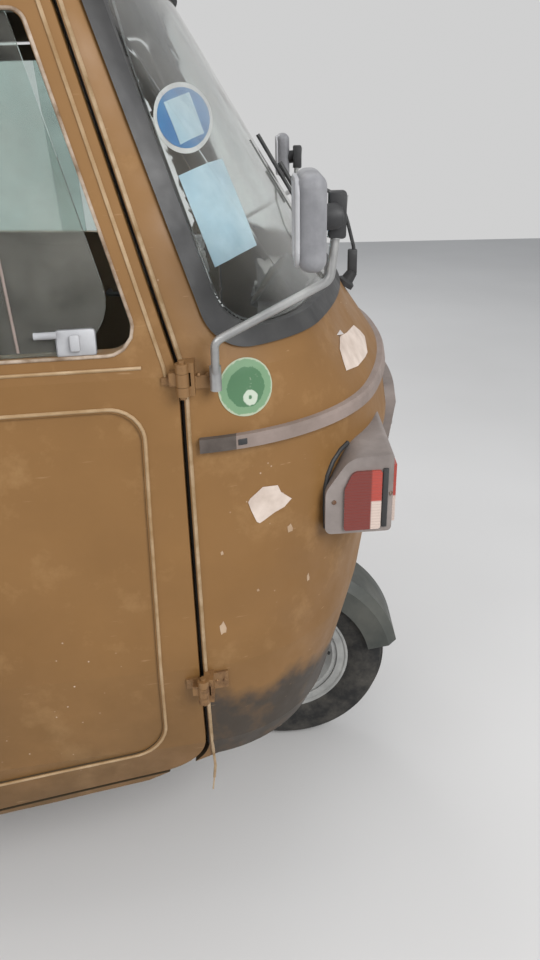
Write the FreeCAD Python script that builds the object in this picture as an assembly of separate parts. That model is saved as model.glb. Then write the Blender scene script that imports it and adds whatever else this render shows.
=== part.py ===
import FreeCAD, Part
import math
import os
from FreeCAD import Placement, Rotation, Vector

# A cargo auto rickshaw: a three-wheeled light truck with a closed steel cab, a single
# steered front wheel and a dropside bed. Millimetres; X forward, Y left, Z up, ground at z = 0.

# Stance
LENGTH = 2500
WHEELBASE = 1590
FRONT_AXLE_X = 815
REAR_AXLE_X = FRONT_AXLE_X - WHEELBASE
REAR_TRACK = 1060
FIT = 0.05
GAP = 6
SEAM = 0.3

# Wheels
TYRE_R = 215
TYRE_W = 100
BEAD_R = 130
RIM_W = 74
HUB_R = 34
HUB_W = 70
AXLE_R = 12

# Front mudguard: a channel bent around the tyre, between two angles above the axle
GUARD_R = 240
GUARD_HALF = 66
GUARD_EDGE_R = 178
GUARD_T = 3
GUARD_FROM, GUARD_TO = 12, 160

# The overall length runs from the mudguard to the tailgate. Places along X are measured in this file
# from a line just inside the doors' rear edge; keep() moves each piece so that X = 0 is mid length.
FRONT_X = FRONT_AXLE_X + GUARD_R * math.cos(math.radians(GUARD_FROM))
REAR_X = FRONT_X - LENGTH
MIDDLE_X = (FRONT_X + REAR_X) / 2

# Cab heights and walls
SKIRT_Z = 215
FLOOR_T = 18
SILL_H = 12
KINK_X = 585
NOSE_SKIRT_Z = 362
NOSE_SKIRT_RISE = 14
BELT_Z = 1000
EAVES_Z = 1490
ROOF_Z = 1600
WALL = 24
GUTTER = 9
CAB_BACK_X = -60
HINGE_X = 689
FRONT_TURN = math.radians(72)

# Cab sections, bottom to top: height, hinge line x, half width at the hinge line,
# reach of the nose ahead of the hinge line, rear wall x, half width at the rear wall
NOSE_ROWS = [
    (SKIRT_Z, HINGE_X, 392, 118, CAB_BACK_X, 566),
    (290, HINGE_X, 437, 172, CAB_BACK_X, 592),
    (400, HINGE_X, 478, 232, CAB_BACK_X, 607),
    (560, HINGE_X, 499, 274, CAB_BACK_X, 613),
    (820, HINGE_X, 507, 312, CAB_BACK_X, 617),
    (915, HINGE_X, 507, 296, CAB_BACK_X, 617),
    (BELT_Z, HINGE_X, 503, 238, CAB_BACK_X, 613),
]
GLASSHOUSE_ROWS = [
    (BELT_Z, HINGE_X, 503, 238, CAB_BACK_X, 613),
    (EAVES_Z, HINGE_X - 154, 428, 93, CAB_BACK_X + 8, 514),
]
ROOF_ROWS = [
    (EAVES_Z, HINGE_X - 154, 428, 93, CAB_BACK_X + 8, 514),
    (EAVES_Z + 38, HINGE_X - 162, 418, 91, CAB_BACK_X + 16, 502),
    (EAVES_Z + 75, HINGE_X - 191, 384, 84, CAB_BACK_X + 50, 460),
    (ROOF_Z - 12, HINGE_X - 256, 312, 66, CAB_BACK_X + 120, 378),
    (ROOF_Z, HINGE_X - 346, 194, 44, CAB_BACK_X + 220, 242),
]

# Doors: outline seen from the side, each corner with its radius
DOOR_REAR_X = -10
DOOR_FRONT_X = 688
DOOR_BOTTOM_Z = 249
DOOR_RISE = 84
DOOR_TOP_Z = 1420
DOOR_SLOPE = DOOR_RISE / (DOOR_FRONT_X - DOOR_REAR_X)
DOOR_LEAN = 0.286
DOOR_FRAME = 34
PRESS_DEPTH = 3
PRESS_CORNERS = [(40, 330, 40), (620, 400, 60), (635, 960, 40), (40, 960, 40)]
HANDLE_FROM, HANDLE_TO, HANDLE_POST_X = 20, 130, 108
HANDLE_LOW, HANDLE_HIGH, HANDLE_REACH = 955, 975, 26
HANDLE_T = 14
SILL_Z = 1030
PANE_T = 4
PANE_OVERLAP = 30
PANE_OPEN = 57
HINGE_HEIGHTS = (534, 1000)
HINGE_OUT = 12
BARREL_R = 8
BARREL_H = 40
HINGE_AHEAD, HINGE_BEHIND = 34, 26
PIN_R = 4

# Rear window, its corners rounded
REAR_WINDOW = [(-300, 1120, 50), (300, 1120, 50), (280, 1340, 50), (-280, 1340, 50)]

# Windscreen
SCREEN_BOTTOM_Z = 1040
SCREEN_TOP_Z = EAVES_Z - 34
PILLAR = 36
PILLAR_FOOT = 62
GASKET_LAP = 15
GASKET_IN = 6
GLASS_T = 5
GASKET_OUT = 5

# Front wheel arch and steering
ARCH_HALF = 212
ARCH_BACK_X = 577
ARCH_TOP_Z = 590
LINER = 8
CASTER = math.radians(9)
STEER_OFFSET = 20
COLUMN_R = 17
CROWN_AT = 257
HEAD_FROM, HEAD_TO = 365, 560
BAR_AT = 850
BAR_HALF = 250
BAR_R = 11
FORK_T = 12
BRAKE_R = 72
CLEVIS_AT = 0.76

# Nose fittings: the trim strip with its rubber ends, and a corner lamp seen from the side
STRIP_Z, STRIP_H, STRIP_T = 902, 18, 9
CAP_FROM, CAP_TO = 704, 749
LAMP_FRONT_X, LAMP_BOTTOM_Z, LAMP_TOP_Z = 962, 742, 858
LAMP_OUT_Y, LAMP_IN_Y, LAMP_TOE = 430, 200, 17
LENS_T = 4
LAMP_CORNERS = [
    (866, LAMP_BOTTOM_Z, 10), (LAMP_FRONT_X, LAMP_BOTTOM_Z, 5), (LAMP_FRONT_X, LAMP_TOP_Z, 8),
    (900, LAMP_TOP_Z, 34), (866, 808, 26)]
SIDE_LENS = [(892, 748, 4), (944, 748, 4), (944, 838, 4), (903, 838, 12), (892, 812, 12)]
FRONT_LENS = (290, 420, 752, 840)
HEADLAMP_HALF, HEADLAMP_LOW, HEADLAMP_HIGH = 112, 712, 846
BEZEL_W, BEZEL_OUT, HEADLAMP_OUT = 14, 18, 12
GRILLE_HALF = 80
DASH_X, DASH_LOW, DASH_HIGH = 776, 930, 985
GRILLE_HEIGHTS = (632, 648, 664, 680)
GRILLE_SLOT = 8

# Mirrors: a bent arm from a socket beside the upper hinge to a head that faces backwards
MIRROR_W, MIRROR_H, MIRROR_Z = 100, 92, 1140
MIRROR_BACK_X, MIRROR_T = 822, 28
MIRROR_Y = 530
MIRROR_FOOT_X, MIRROR_FOOT_Y = HINGE_X + HINGE_AHEAD + 5, 512
MIRROR_ARM_R = 5

# Inside the cab
SEAT_FROM, SEAT_TO, SEAT_HALF = -20, 330, 440
SEAT_BASE_Z, SEAT_Z, BACKREST_Z = 560, 650, 985
SHEET = 16

# Cargo bed
BED_FRONT_X = -120
BED_HALF = 630
BED_FLOOR_Z = 600
BED_TOP_Z = 860
BED_WALL = 14
BED_PLATE = 20
BED_RIB = 10
BED_RIB_COUNT = 6
BEARER_COUNT, BEARER_W = 4, 40
TAIL_T = 18
TAIL_HINGE_COUNT = 3
TAIL_PIN_R = 5
REAR_GUARD_R, REAR_GUARD_T = TYRE_R + 44, 4

# Chassis
RAIL_Y = 262
RAIL_W = 44
RAIL_H = 52
REAR_RAIL_Z = 500
RAIL_FRONT_X = 580
RAIL_END_X = REAR_X + 60
ENGINE_TOP_Z = 470
ENGINE_FRONT_X = REAR_AXLE_X + 80
ENGINE_REAR_X = REAR_AXLE_X - 240
PIVOT_X = REAR_AXLE_X + 310
PIVOT_Z = 330
ARM_R = 22
DAMPER_X = REAR_AXLE_X + 110
ENGINE_HALF, ENGINE_LOW_Z = 150, 240
SILENCER_R, SILENCER_L, SILENCER_Y = 62, 250, 60

PARTS = {}


def keep(name, *shapes):
    """Store one piece, moved so that X = 0 is the middle of the length."""
    shape = shapes[0] if len(shapes) == 1 else Part.makeCompound(list(shapes))
    PARTS[name] = shape.translated(Vector(-MIDDLE_X, 0, 0))


def box(x0, x1, y0, y1, z0, z1):
    return Part.makeBox(x1 - x0, y1 - y0, z1 - z0, Vector(x0, y0, z0))


def spread(first, last, count):
    """Evenly spaced places from the first to the last."""
    return [first + (last - first) * i / (count - 1) for i in range(count)]


def across(x0, x1, y0, y1, z0, z1):
    """A box whose two sides may be given in either order, for pieces on both sides of the cab."""
    return box(x0, x1, min(y0, y1), max(y0, y1), z0, z1)


def rod(start, end, radius):
    a, b = Vector(*start), Vector(*end)
    return Part.makeCylinder(radius, (b - a).Length, a, b - a)


def mirrored(shape):
    return shape.mirror(Vector(0, 0, 0), Vector(0, 1, 0))


def both(shape):
    return [shape, mirrored(shape)]


def rounded(corners, plane):
    """A closed wire of lines and tangent arcs; corners are (u, v, radius)."""
    count = len(corners)
    starts, ends, edges = [], [], []
    for i, (u, v, radius) in enumerate(corners):
        here = Vector(u, v, 0)
        back = (Vector(corners[i - 1][0], corners[i - 1][1], 0) - here).normalize()
        ahead = (Vector(corners[(i + 1) % count][0], corners[(i + 1) % count][1], 0) - here).normalize()
        half = back.getAngle(ahead) / 2
        setback = radius / math.tan(half)
        starts.append(here + back * setback)
        ends.append(here + ahead * setback)
        if radius:
            middle = (back + ahead).normalize()
            edges.append((starts[i], here + middle * (radius / math.sin(half) - radius), ends[i]))
        else:
            edges.append(None)
    made = []
    for i in range(count):
        if edges[i]:
            made.append(Part.Arc(*[plane(p) for p in edges[i]]).toShape())
        a, b = ends[i], starts[(i + 1) % count]
        if (a - b).Length > 1e-6:
            made.append(Part.LineSegment(plane(a), plane(b)).toShape())
    return Part.Wire(made)


def side_prism(corners, y0, y1):
    wire = rounded(corners, lambda p: Vector(p.x, y0, p.y))
    return Part.Face(wire).extrude(Vector(0, y1 - y0, 0))


def front_prism(corners, x0, x1):
    wire = rounded(corners, lambda p: Vector(x0, p.x, p.y))
    return Part.Face(wire).extrude(Vector(x1 - x0, 0, 0))


def bent_rod(points, radius, bend):
    """A round bar along straight runs joined by tangent arcs."""
    pts = [Vector(*p) for p in points]
    edges, at = [], pts[0]
    for i in range(1, len(pts) - 1):
        back = (pts[i - 1] - pts[i]).normalize()
        ahead = (pts[i + 1] - pts[i]).normalize()
        half = back.getAngle(ahead) / 2
        setback = bend / math.tan(half)
        middle = (back + ahead).normalize()
        a, b = pts[i] + back * setback, pts[i] + ahead * setback
        edges.append(Part.LineSegment(at, a).toShape())
        edges.append(Part.Arc(a, pts[i] + middle * (bend / math.sin(half) - bend), b).toShape())
        at = b
    edges.append(Part.LineSegment(at, pts[-1]).toShape())
    path = Part.Wire(edges)
    ring = Part.Wire(Part.makeCircle(radius, pts[0], pts[1] - pts[0]))
    return path.makePipeShell([ring], True, False)


def revolve(profile, centre, axis, start=0, sweep=360):
    """profile: (along the axis, radius, corner radius) of a closed outline."""
    frame = Rotation(Vector(0, 0, 1), Vector(*axis))
    face = Part.Face(rounded(profile, lambda p: Vector(p.y, 0, p.x)))
    face.rotate(Vector(0, 0, 0), Vector(0, 0, 1), start)
    solid = face.revolve(Vector(0, 0, 0), Vector(0, 0, 1), sweep)
    solid.Placement = Placement(Vector(*centre), frame)
    return solid


def section(row, inset=0):
    """The cab outline at one height, seen from above, moved in by inset."""
    z, hinge_x, hinge_half, reach, back_x, back_half = row
    side = math.atan2(back_half - hinge_half, hinge_x - back_x)
    ease = math.tan((math.pi / 2 - FRONT_TURN) / 2)
    corner = (reach - ease * hinge_half) / (
        math.sin(FRONT_TURN) - math.sin(side) - ease * (math.cos(side) - math.cos(FRONT_TURN)))
    cx, cy = hinge_x - corner * math.sin(side), hinge_half - corner * math.cos(side)
    front_r = (cy + corner * math.cos(FRONT_TURN)) / math.cos(FRONT_TURN)
    fx = cx + corner * math.sin(FRONT_TURN) - front_r * math.sin(FRONT_TURN)

    def on_corner(angle):
        r = corner - inset
        return cx + r * math.sin(angle), cy + r * math.cos(angle)

    a = on_corner(side)
    m = on_corner((side + FRONT_TURN) / 2)
    b = on_corner(FRONT_TURN)
    tip = fx + front_r - inset
    rear = back_x + inset
    rear_half = a[1] + (a[0] - rear) * math.tan(side)

    def at(x, y):
        return Vector(x, y, z)

    return Part.Wire([
        Part.LineSegment(at(rear, -rear_half), at(a[0], -a[1])).toShape(),
        Part.Arc(at(a[0], -a[1]), at(m[0], -m[1]), at(b[0], -b[1])).toShape(),
        Part.Arc(at(b[0], -b[1]), at(tip, 0), at(*b)).toShape(),
        Part.Arc(at(*b), at(*m), at(*a)).toShape(),
        Part.LineSegment(at(*a), at(rear, rear_half)).toShape(),
        Part.LineSegment(at(rear, rear_half), at(rear, -rear_half)).toShape()])


def lofted(rows, inset=0):
    return Part.makeLoft([section(row, inset) for row in rows], True, True)


def door_edge_x(z):
    return DOOR_FRONT_X - max(0, z - BELT_Z) * DOOR_LEAN


def door_corners(inset=0):
    top = DOOR_TOP_Z - inset
    return [
        (DOOR_REAR_X + inset, DOOR_BOTTOM_Z + inset, 30),
        (DOOR_FRONT_X - inset, DOOR_BOTTOM_Z + inset + DOOR_RISE, 80),
        (DOOR_FRONT_X - inset, BELT_Z, 120),
        (door_edge_x(top) - inset, top, 34),
        (DOOR_REAR_X + inset, top, 40)]


def window_corners(inset=0):
    top = DOOR_TOP_Z - DOOR_FRAME - inset
    low = SILL_Z + inset
    edge = DOOR_FRAME + inset + 8
    return [
        (DOOR_REAR_X + edge, low, 34),
        (door_edge_x(low) - edge + 4, low, 30),
        (door_edge_x(top) - edge, top, 16),
        (DOOR_REAR_X + edge, top, 34)]


def screen_corners(grow=0):
    low, top, front = SCREEN_BOTTOM_Z - grow, SCREEN_TOP_Z + grow, LENGTH / 2
    return [
        (door_edge_x(low) + PILLAR_FOOT - grow, low, 66),
        (front, low, 0),
        (front, top, 0),
        (door_edge_x(top) + PILLAR - grow, top, 26)]


def through(corners):
    return side_prism(corners, -BED_HALF - 100, BED_HALF + 100)


def sill_z(x):
    """Height of the cab's lower edge under the door."""
    return DOOR_BOTTOM_Z - SILL_H + DOOR_SLOPE * (x - DOOR_REAR_X)


def under(raised=0):
    """All that lies below the cab's lower edge, or below a line this much above it."""
    back, front = CAB_BACK_X - 100, FRONT_X + 100
    return through([
        (back, 0, 0),
        (back, sill_z(back) + raised, 0),
        (KINK_X, sill_z(KINK_X) + raised, 0),
        (HINGE_X + 10, NOSE_SKIRT_Z + raised, 0),
        (front, NOSE_SKIRT_Z + NOSE_SKIRT_RISE + raised, 0),
        (front, 0, 0)])


NOSE_SOLID = lofted(NOSE_ROWS)
HOUSE_SOLID = lofted(GLASSHOUSE_ROWS)
INNER = lofted(NOSE_ROWS, WALL).fuse(lofted(GLASSHOUSE_ROWS, WALL)).removeSplitter()


def axis_point(along):
    """A point on the steering axis, measured up from the height of the front axle."""
    return (FRONT_AXLE_X - STEER_OFFSET - along * math.sin(CASTER), 0, TYRE_R + along * math.cos(CASTER))


def across_axis(along, forward, y):
    """A point beside the steering axis: forward square to it, y to the left."""
    x, _, z = axis_point(along)
    return x + forward * math.cos(CASTER), y, z + forward * math.sin(CASTER)


def arch_corners(grow=0):
    return [
        (ARCH_BACK_X - grow, SKIRT_Z - 50, 0),
        (LENGTH / 2, SKIRT_Z - 50, 0),
        (LENGTH / 2, ARCH_TOP_Z + grow, 0),
        (ARCH_BACK_X - grow, ARCH_TOP_Z + grow, 60)]


def make_cab():
    arch = side_prism(arch_corners(), -ARCH_HALF, ARCH_HALF)
    arch_out = side_prism(arch_corners(LINER), -ARCH_HALF - LINER, ARCH_HALF + LINER)
    shell = NOSE_SOLID.fuse(HOUSE_SOLID).cut(INNER).cut(arch).cut(under())
    shell = shell.cut(through(door_corners())).cut(through(screen_corners()))
    slots = [box(DASH_X, LENGTH, -GRILLE_HALF, GRILLE_HALF, z, z + GRILLE_SLOT) for z in GRILLE_HEIGHTS]
    shell = shell.cut(slots)
    header = box(CAB_BACK_X - 50, LENGTH, -700, 700, DOOR_TOP_Z, EAVES_Z)
    front = box((DOOR_FRONT_X + DOOR_REAR_X) / 2, LENGTH, -700, 700, 0, DOOR_TOP_Z)
    window = front_prism(REAR_WINDOW, CAB_BACK_X - 20, CAB_BACK_X + 90)
    keep("cab_nose", shell.common(front))
    keep("cab_back", shell.cut(front).cut(header).cut(window))
    gutter = Part.Face(section(ROOF_ROWS[0], -GUTTER)).cut(Part.Face(section(ROOF_ROWS[0], WALL)))
    gutter = gutter.extrude(Vector(0, 0, GUTTER))
    roof = lofted(ROOF_ROWS).cut(lofted(ROOF_ROWS[:-1], WALL))
    keep("cab_roof", roof.fuse([gutter, shell.common(header)]).removeSplitter())
    mid = lofted(GLASSHOUSE_ROWS, 9).cut(lofted(GLASSHOUSE_ROWS, 9 + PANE_T))
    keep("rear_window", mid.common(window))
    floor = under(FLOOR_T).cut(under())
    keep("cab_floor", floor.common(INNER).cut(arch_out))
    liner = arch_out.cut(arch).common(INNER).cut(under())
    sleeve = rod(axis_point(HEAD_FROM), axis_point(HEAD_TO), COLUMN_R + 9)
    bore = rod(axis_point(HEAD_FROM - 60), axis_point(HEAD_TO + 10), COLUMN_R + FIT)
    keep("front_arch", liner.fuse(sleeve).cut(bore))


def make_screen():
    proud = lofted(GLASSHOUSE_ROWS, -GASKET_OUT).cut(HOUSE_SOLID)
    ring = through(screen_corners(GASKET_LAP)).cut(through(screen_corners(-GASKET_IN)))
    inside = HOUSE_SOLID.cut(lofted(GLASSHOUSE_ROWS, 18))
    lip = through(screen_corners()).cut(through(screen_corners(-GASKET_IN)))
    keep("screen_gasket", proud.common(ring).fuse(inside.common(lip)).removeSplitter())
    pane = lofted(GLASSHOUSE_ROWS, 6).cut(lofted(GLASSHOUSE_ROWS, 6 + GLASS_T))
    keep("windscreen", pane.common(through(screen_corners(-GASKET_IN))))


def make_nose_fittings():
    band = lofted(NOSE_ROWS, -STRIP_T).cut(NOSE_SOLID)
    keep("trim_strip", band.common(box(CAP_TO, LENGTH, -700, 700, STRIP_Z, STRIP_Z + STRIP_H)))
    caps = band.common(box(CAP_FROM, CAP_TO, -700, 700, STRIP_Z, STRIP_Z + STRIP_H))
    keep("strip_end_caps", *caps.Solids)
    back_x = HINGE_X + 100
    plan = [
        (back_x, 0, 0), (LAMP_FRONT_X, 0, 0),
        (LAMP_FRONT_X, LAMP_OUT_Y, 12), (back_x, LAMP_OUT_Y + LAMP_TOE, 0)]
    body = Part.Face(rounded(plan, lambda p: Vector(p.x, p.y, 0))).extrude(Vector(0, 0, BELT_Z))
    body = body.common(side_prism(LAMP_CORNERS, LAMP_IN_Y, BED_HALF)).cut(NOSE_SOLID)
    skin = body.translated(Vector(0, LENS_T, 0)).cut(body)
    skin = skin.common(side_prism(SIDE_LENS, LAMP_IN_Y, BED_HALF))
    y0, y1, z0, z1 = FRONT_LENS
    front = box(LAMP_FRONT_X, LAMP_FRONT_X + LENS_T, y0, y1, z0, z1)
    keep("corner_lamp_housings", *both(body))
    keep("corner_lamp_lenses", *both(skin), *both(front))
    bezel, glass = [front_prism([
        (-half, HEADLAMP_LOW + edge, radius), (half, HEADLAMP_LOW + edge, radius),
        (half, HEADLAMP_HIGH - edge, radius), (-half, HEADLAMP_HIGH - edge, radius)], DASH_X, LENGTH)
        for half, edge, radius in ((HEADLAMP_HALF, 0, 24), (HEADLAMP_HALF - BEZEL_W, BEZEL_W, 16))]
    keep("headlamp_bezel", lofted(NOSE_ROWS, -BEZEL_OUT).cut(NOSE_SOLID).common(bezel).cut(glass))
    keep("headlamp_lens", lofted(NOSE_ROWS, -HEADLAMP_OUT).cut(NOSE_SOLID).common(glass))
    keep("dashboard", box(DASH_X, LENGTH, -BED_HALF, BED_HALF, DASH_LOW, DASH_HIGH).common(INNER))


def mirror_pieces(side):
    y, foot_y = side * MIRROR_Y, side * MIRROR_FOOT_Y
    front_x = MIRROR_BACK_X + MIRROR_T
    arm = bent_rod([
        (MIRROR_FOOT_X, foot_y, BELT_Z), (MIRROR_FOOT_X + 2, y, BELT_Z + 48),
        (front_x + 11, y, MIRROR_Z - 25), (front_x + 20, y, MIRROR_Z + 60)], MIRROR_ARM_R, 14)
    foot = rod((MIRROR_FOOT_X, foot_y, BELT_Z - 16), (MIRROR_FOOT_X, foot_y, BELT_Z + 14), MIRROR_ARM_R + 2)
    web = across(MIRROR_FOOT_X - 4, MIRROR_FOOT_X + 4, side * (MIRROR_FOOT_Y - 32), foot_y,
                 BELT_Z - 14, BELT_Z - 2)
    head = across(MIRROR_BACK_X, front_x, y, y + side * MIRROR_W, MIRROR_Z, MIRROR_Z + MIRROR_H)
    head = head.makeFillet(12, head.Edges)
    ball = Part.makeSphere(12, Vector(front_x + 8, y + side * 14, MIRROR_Z + 44))
    sleeve = rod((front_x + 16, y, MIRROR_Z + 20), (front_x + 20, y, MIRROR_Z + 64), MIRROR_ARM_R + 4)
    return arm.fuse([foot, web, sleeve, ball]).cut(NOSE_SOLID).cut(HOUSE_SOLID), head.cut(ball)


def make_mirrors():
    pairs = [mirror_pieces(side) for side in (-1, 1)]
    keep("mirror_arms", *[pair[0] for pair in pairs])
    keep("mirror_heads", *[pair[1] for pair in pairs])


def make_door(side):
    name = "right" if side < 0 else "left"
    half = across(CAB_BACK_X, LENGTH, 0, side * LENGTH, 0, ROOF_Z)
    wall = NOSE_SOLID.fuse(HOUSE_SOLID).cut(INNER).common(half)
    leaf = wall.common(through(door_corners(GAP))).cut(through(window_corners()))
    press = NOSE_SOLID.cut(lofted(NOSE_ROWS, PRESS_DEPTH)).common(through(PRESS_CORNERS))
    keep("door_" + name, leaf.cut(press))
    middle = (DOOR_REAR_X + DOOR_FRONT_X) / 2
    window = through(window_corners()).common(half)
    outer = lofted(GLASSHOUSE_ROWS, 5).cut(lofted(GLASSHOUSE_ROWS, 5 + PANE_T))
    inner = lofted(GLASSHOUSE_ROWS, 13).cut(lofted(GLASSHOUSE_ROWS, 13 + PANE_T))
    low, top = SILL_Z, DOOR_TOP_Z
    front_pane = through([
        (middle - PANE_OVERLAP, low, 0),
        (door_edge_x(low) - PANE_OPEN, low, 60),
        (door_edge_x(top) - PANE_OPEN, top, 60),
        (middle - PANE_OVERLAP, top, 0)])
    rear_pane = box(CAB_BACK_X, middle + PANE_OVERLAP, -BED_HALF, BED_HALF, 0, ROOF_Z)
    panes = [outer.common(window).common(front_pane), inner.common(window).common(rear_pane)]
    keep("door_panes_" + name, *panes)
    hinges = [make_hinge(side, z, half) for z in HINGE_HEIGHTS]
    keep("hinge_knuckles_" + name, *[knuckle for knuckle, _ in hinges])
    grip = box(HANDLE_FROM, HANDLE_TO, -BED_HALF, BED_HALF, HANDLE_LOW, HANDLE_HIGH)
    foot = box(HANDLE_POST_X, HANDLE_TO - 4, -BED_HALF, BED_HALF, HANDLE_LOW, HANDLE_HIGH)
    clear = lofted(NOSE_ROWS, HANDLE_T - HANDLE_REACH)
    lever = lofted(NOSE_ROWS, -HANDLE_REACH).cut(clear).common(grip)
    post = clear.cut(NOSE_SOLID).common(foot)
    keep("door_handle_" + name, lever.fuse(post).common(half))
    return [lug for _, lug in hinges]


def make_hinge(side, z, half):
    """One door hinge: the door's knuckle turns between two lugs on the nose."""
    y, root_y = side * (NOSE_ROWS[4][2] + HINGE_OUT), side * (NOSE_ROWS[4][2] - 30)
    reach, eye = BARREL_H / 2, BARREL_H / 5
    barrel = rod((HINGE_X, y, z - reach), (HINGE_X, y, z + reach), BARREL_R)
    pin = rod((HINGE_X, y, z - reach - 4), (HINGE_X, y, z + reach + 4), PIN_R)
    hole = rod((HINGE_X, y, z - reach), (HINGE_X, y, z + reach), PIN_R + FIT)
    middle = across(HINGE_X - 20, HINGE_X + 20, 0, 2 * y, z - eye, z + eye)
    slot = across(HINGE_X - 20, HINGE_X + BARREL_R + 2, 0, 2 * y, z - eye - 0.5, z + eye + 0.5)
    rows = NOSE_ROWS[4:] if z > NOSE_ROWS[4][0] else NOSE_ROWS[2:5]
    plate = lofted(rows, -4).cut(NOSE_SOLID).common(half)
    ahead = plate.common(across(HINGE_X, HINGE_X + HINGE_AHEAD, 0, 2 * y, z - 16, z + 16))
    behind = plate.common(across(HINGE_X - HINGE_BEHIND, HINGE_X - GAP - 3, 0, 2 * y, z - 9, z + 9))
    stay = across(HINGE_X, HINGE_X + 14, root_y, y, z - reach, z + reach)
    web = across(HINGE_X - 16, HINGE_X - 3, root_y, y, z - eye, z + eye)
    stay, web = [piece.cut(NOSE_SOLID).cut(HOUSE_SOLID) for piece in (stay, web)]
    lug = barrel.fuse([stay, ahead]).cut(slot).fuse(pin)
    knuckle = barrel.common(middle).fuse([web, behind]).cut(hole)
    return knuckle.removeSplitter(), lug.removeSplitter()


def make_wheel(name, x, y, side):
    bead, lip, wide, crown = BEAD_R, RIM_W / 2, TYRE_W / 2, TYRE_R
    half = [
        (lip, bead), (wide - 2, bead + 22), (wide, bead + 46),
        (wide - 7, crown - 12), (wide - 26, crown)]
    tyre = [(-a, r, 0) for a, r in half] + [(a, r, 0) for a, r in reversed(half)]
    keep(name + "_tyre", revolve(tyre, (x, y, TYRE_R), (0, side, 0)))
    rim = [(-lip, bead - 18, 0), (lip, bead - 18, 0), (lip, bead, 0), (-lip, bead, 0)]
    disc = [(-6, HUB_R - 10, 0), (-6, 78, 0), (-lip + 5, bead - 28, 0), (-lip + 5, bead - 16, 0),
            (-lip + 12, bead - 16, 0), (2, 86, 0), (2, HUB_R - 10, 0)]
    hub = [(-HUB_W / 2, AXLE_R + FIT, 0), (HUB_W / 2, AXLE_R + FIT, 0), (HUB_W / 2, HUB_R, 4),
           (-HUB_W / 2, HUB_R, 4)]
    solids = [revolve(p, (x, y, TYRE_R), (0, side, 0)) for p in (rim, disc, hub)]
    keep(name + "_rim", solids[0].fuse(solids[1:]).removeSplitter())


def guard_outline(inset):
    half, top = GUARD_HALF - inset, GUARD_R - inset
    side = [(-half, GUARD_EDGE_R, 0), (-half, top - 18, 0), (16 - half, top, 0)]
    return side + [(-along, r, 0) for along, r, _ in reversed(side)]


def make_steering():
    hub = (FRONT_AXLE_X, 0, TYRE_R)
    channel = guard_outline(0) + guard_outline(GUARD_T)[::-1]
    keep("front_mudguard", revolve(channel, hub, (0, -1, 0), GUARD_FROM, GUARD_TO - GUARD_FROM))
    arm_in, arm_out = GUARD_HALF + 4, GUARD_HALF + 4 + FORK_T
    x, _, z = axis_point(CROWN_AT)
    column = rod(axis_point(CROWN_AT), axis_point(BAR_AT), COLUMN_R)
    crown = rod((x, -24, z), (x, arm_out, z), COLUMN_R)
    arm = side_prism([
        (x - 22, z + 4, 10), (x + 6, z + 26, 10), (FRONT_AXLE_X + 34, TYRE_R + 10, 24),
        (FRONT_AXLE_X + 20, TYRE_R - 34, 20), (FRONT_AXLE_X - 34, TYRE_R - 12, 20)], arm_in, arm_out)
    stub = rod((FRONT_AXLE_X, arm_out, TYRE_R), (FRONT_AXLE_X, -HUB_W / 2 - GAP, TYRE_R), AXLE_R)
    brake = rod((FRONT_AXLE_X, HUB_W / 2 + 10, TYRE_R), (FRONT_AXLE_X, arm_in, TYRE_R), BRAKE_R)
    peg_x, peg_z = FRONT_AXLE_X + CLEVIS_AT * (x - FRONT_AXLE_X), TYRE_R + CLEVIS_AT * (z - TYRE_R)
    peg = rod((peg_x, GUARD_HALF, peg_z), (peg_x, arm_in, peg_z), 9)
    disc = rod((FRONT_AXLE_X, -BED_HALF, TYRE_R), (FRONT_AXLE_X, BED_HALF, TYRE_R), GUARD_R)
    post = rod((x, 0, z), (x, 0, z - 40), 12).cut(disc)
    keep("fork", column.fuse([crown, arm, stub, brake, peg, post]).removeSplitter())
    clamp = rod(axis_point(BAR_AT - 30), axis_point(BAR_AT + 6), COLUMN_R + 9)
    bar = bent_rod([across_axis(BAR_AT - 6, -34, -BAR_HALF), across_axis(BAR_AT - 6, 0, -90),
                    across_axis(BAR_AT - 6, 0, 90), across_axis(BAR_AT - 6, -34, BAR_HALF)], BAR_R, 60)
    keep("handlebar", clamp.fuse(bar).cut(column))


def make_cockpit():
    front = SEAT_TO - SHEET
    base = box(SEAT_FROM, SEAT_TO, -SEAT_HALF, SEAT_HALF, SKIRT_Z, SEAT_BASE_Z)
    hollow = box(SEAT_FROM, front, SHEET - SEAT_HALF, SEAT_HALF - SHEET, SKIRT_Z, SEAT_BASE_Z - SHEET)
    keep("seat_base", base.cut(hollow).cut(under(FLOOR_T)))
    half = SEAT_HALF - 10
    cushion = box(SEAT_FROM + 30, SEAT_TO + 30, -half, half, SEAT_BASE_Z + SEAM, SEAT_Z)
    keep("seat_cushion", cushion.makeFillet(20, cushion.Edges))
    back = box(CAB_BACK_X + WALL + SEAM, CAB_BACK_X + 100, -half, half, SEAT_Z + 6, BACKREST_Z)
    keep("seat_back", back.makeFillet(18, back.Edges))


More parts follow.
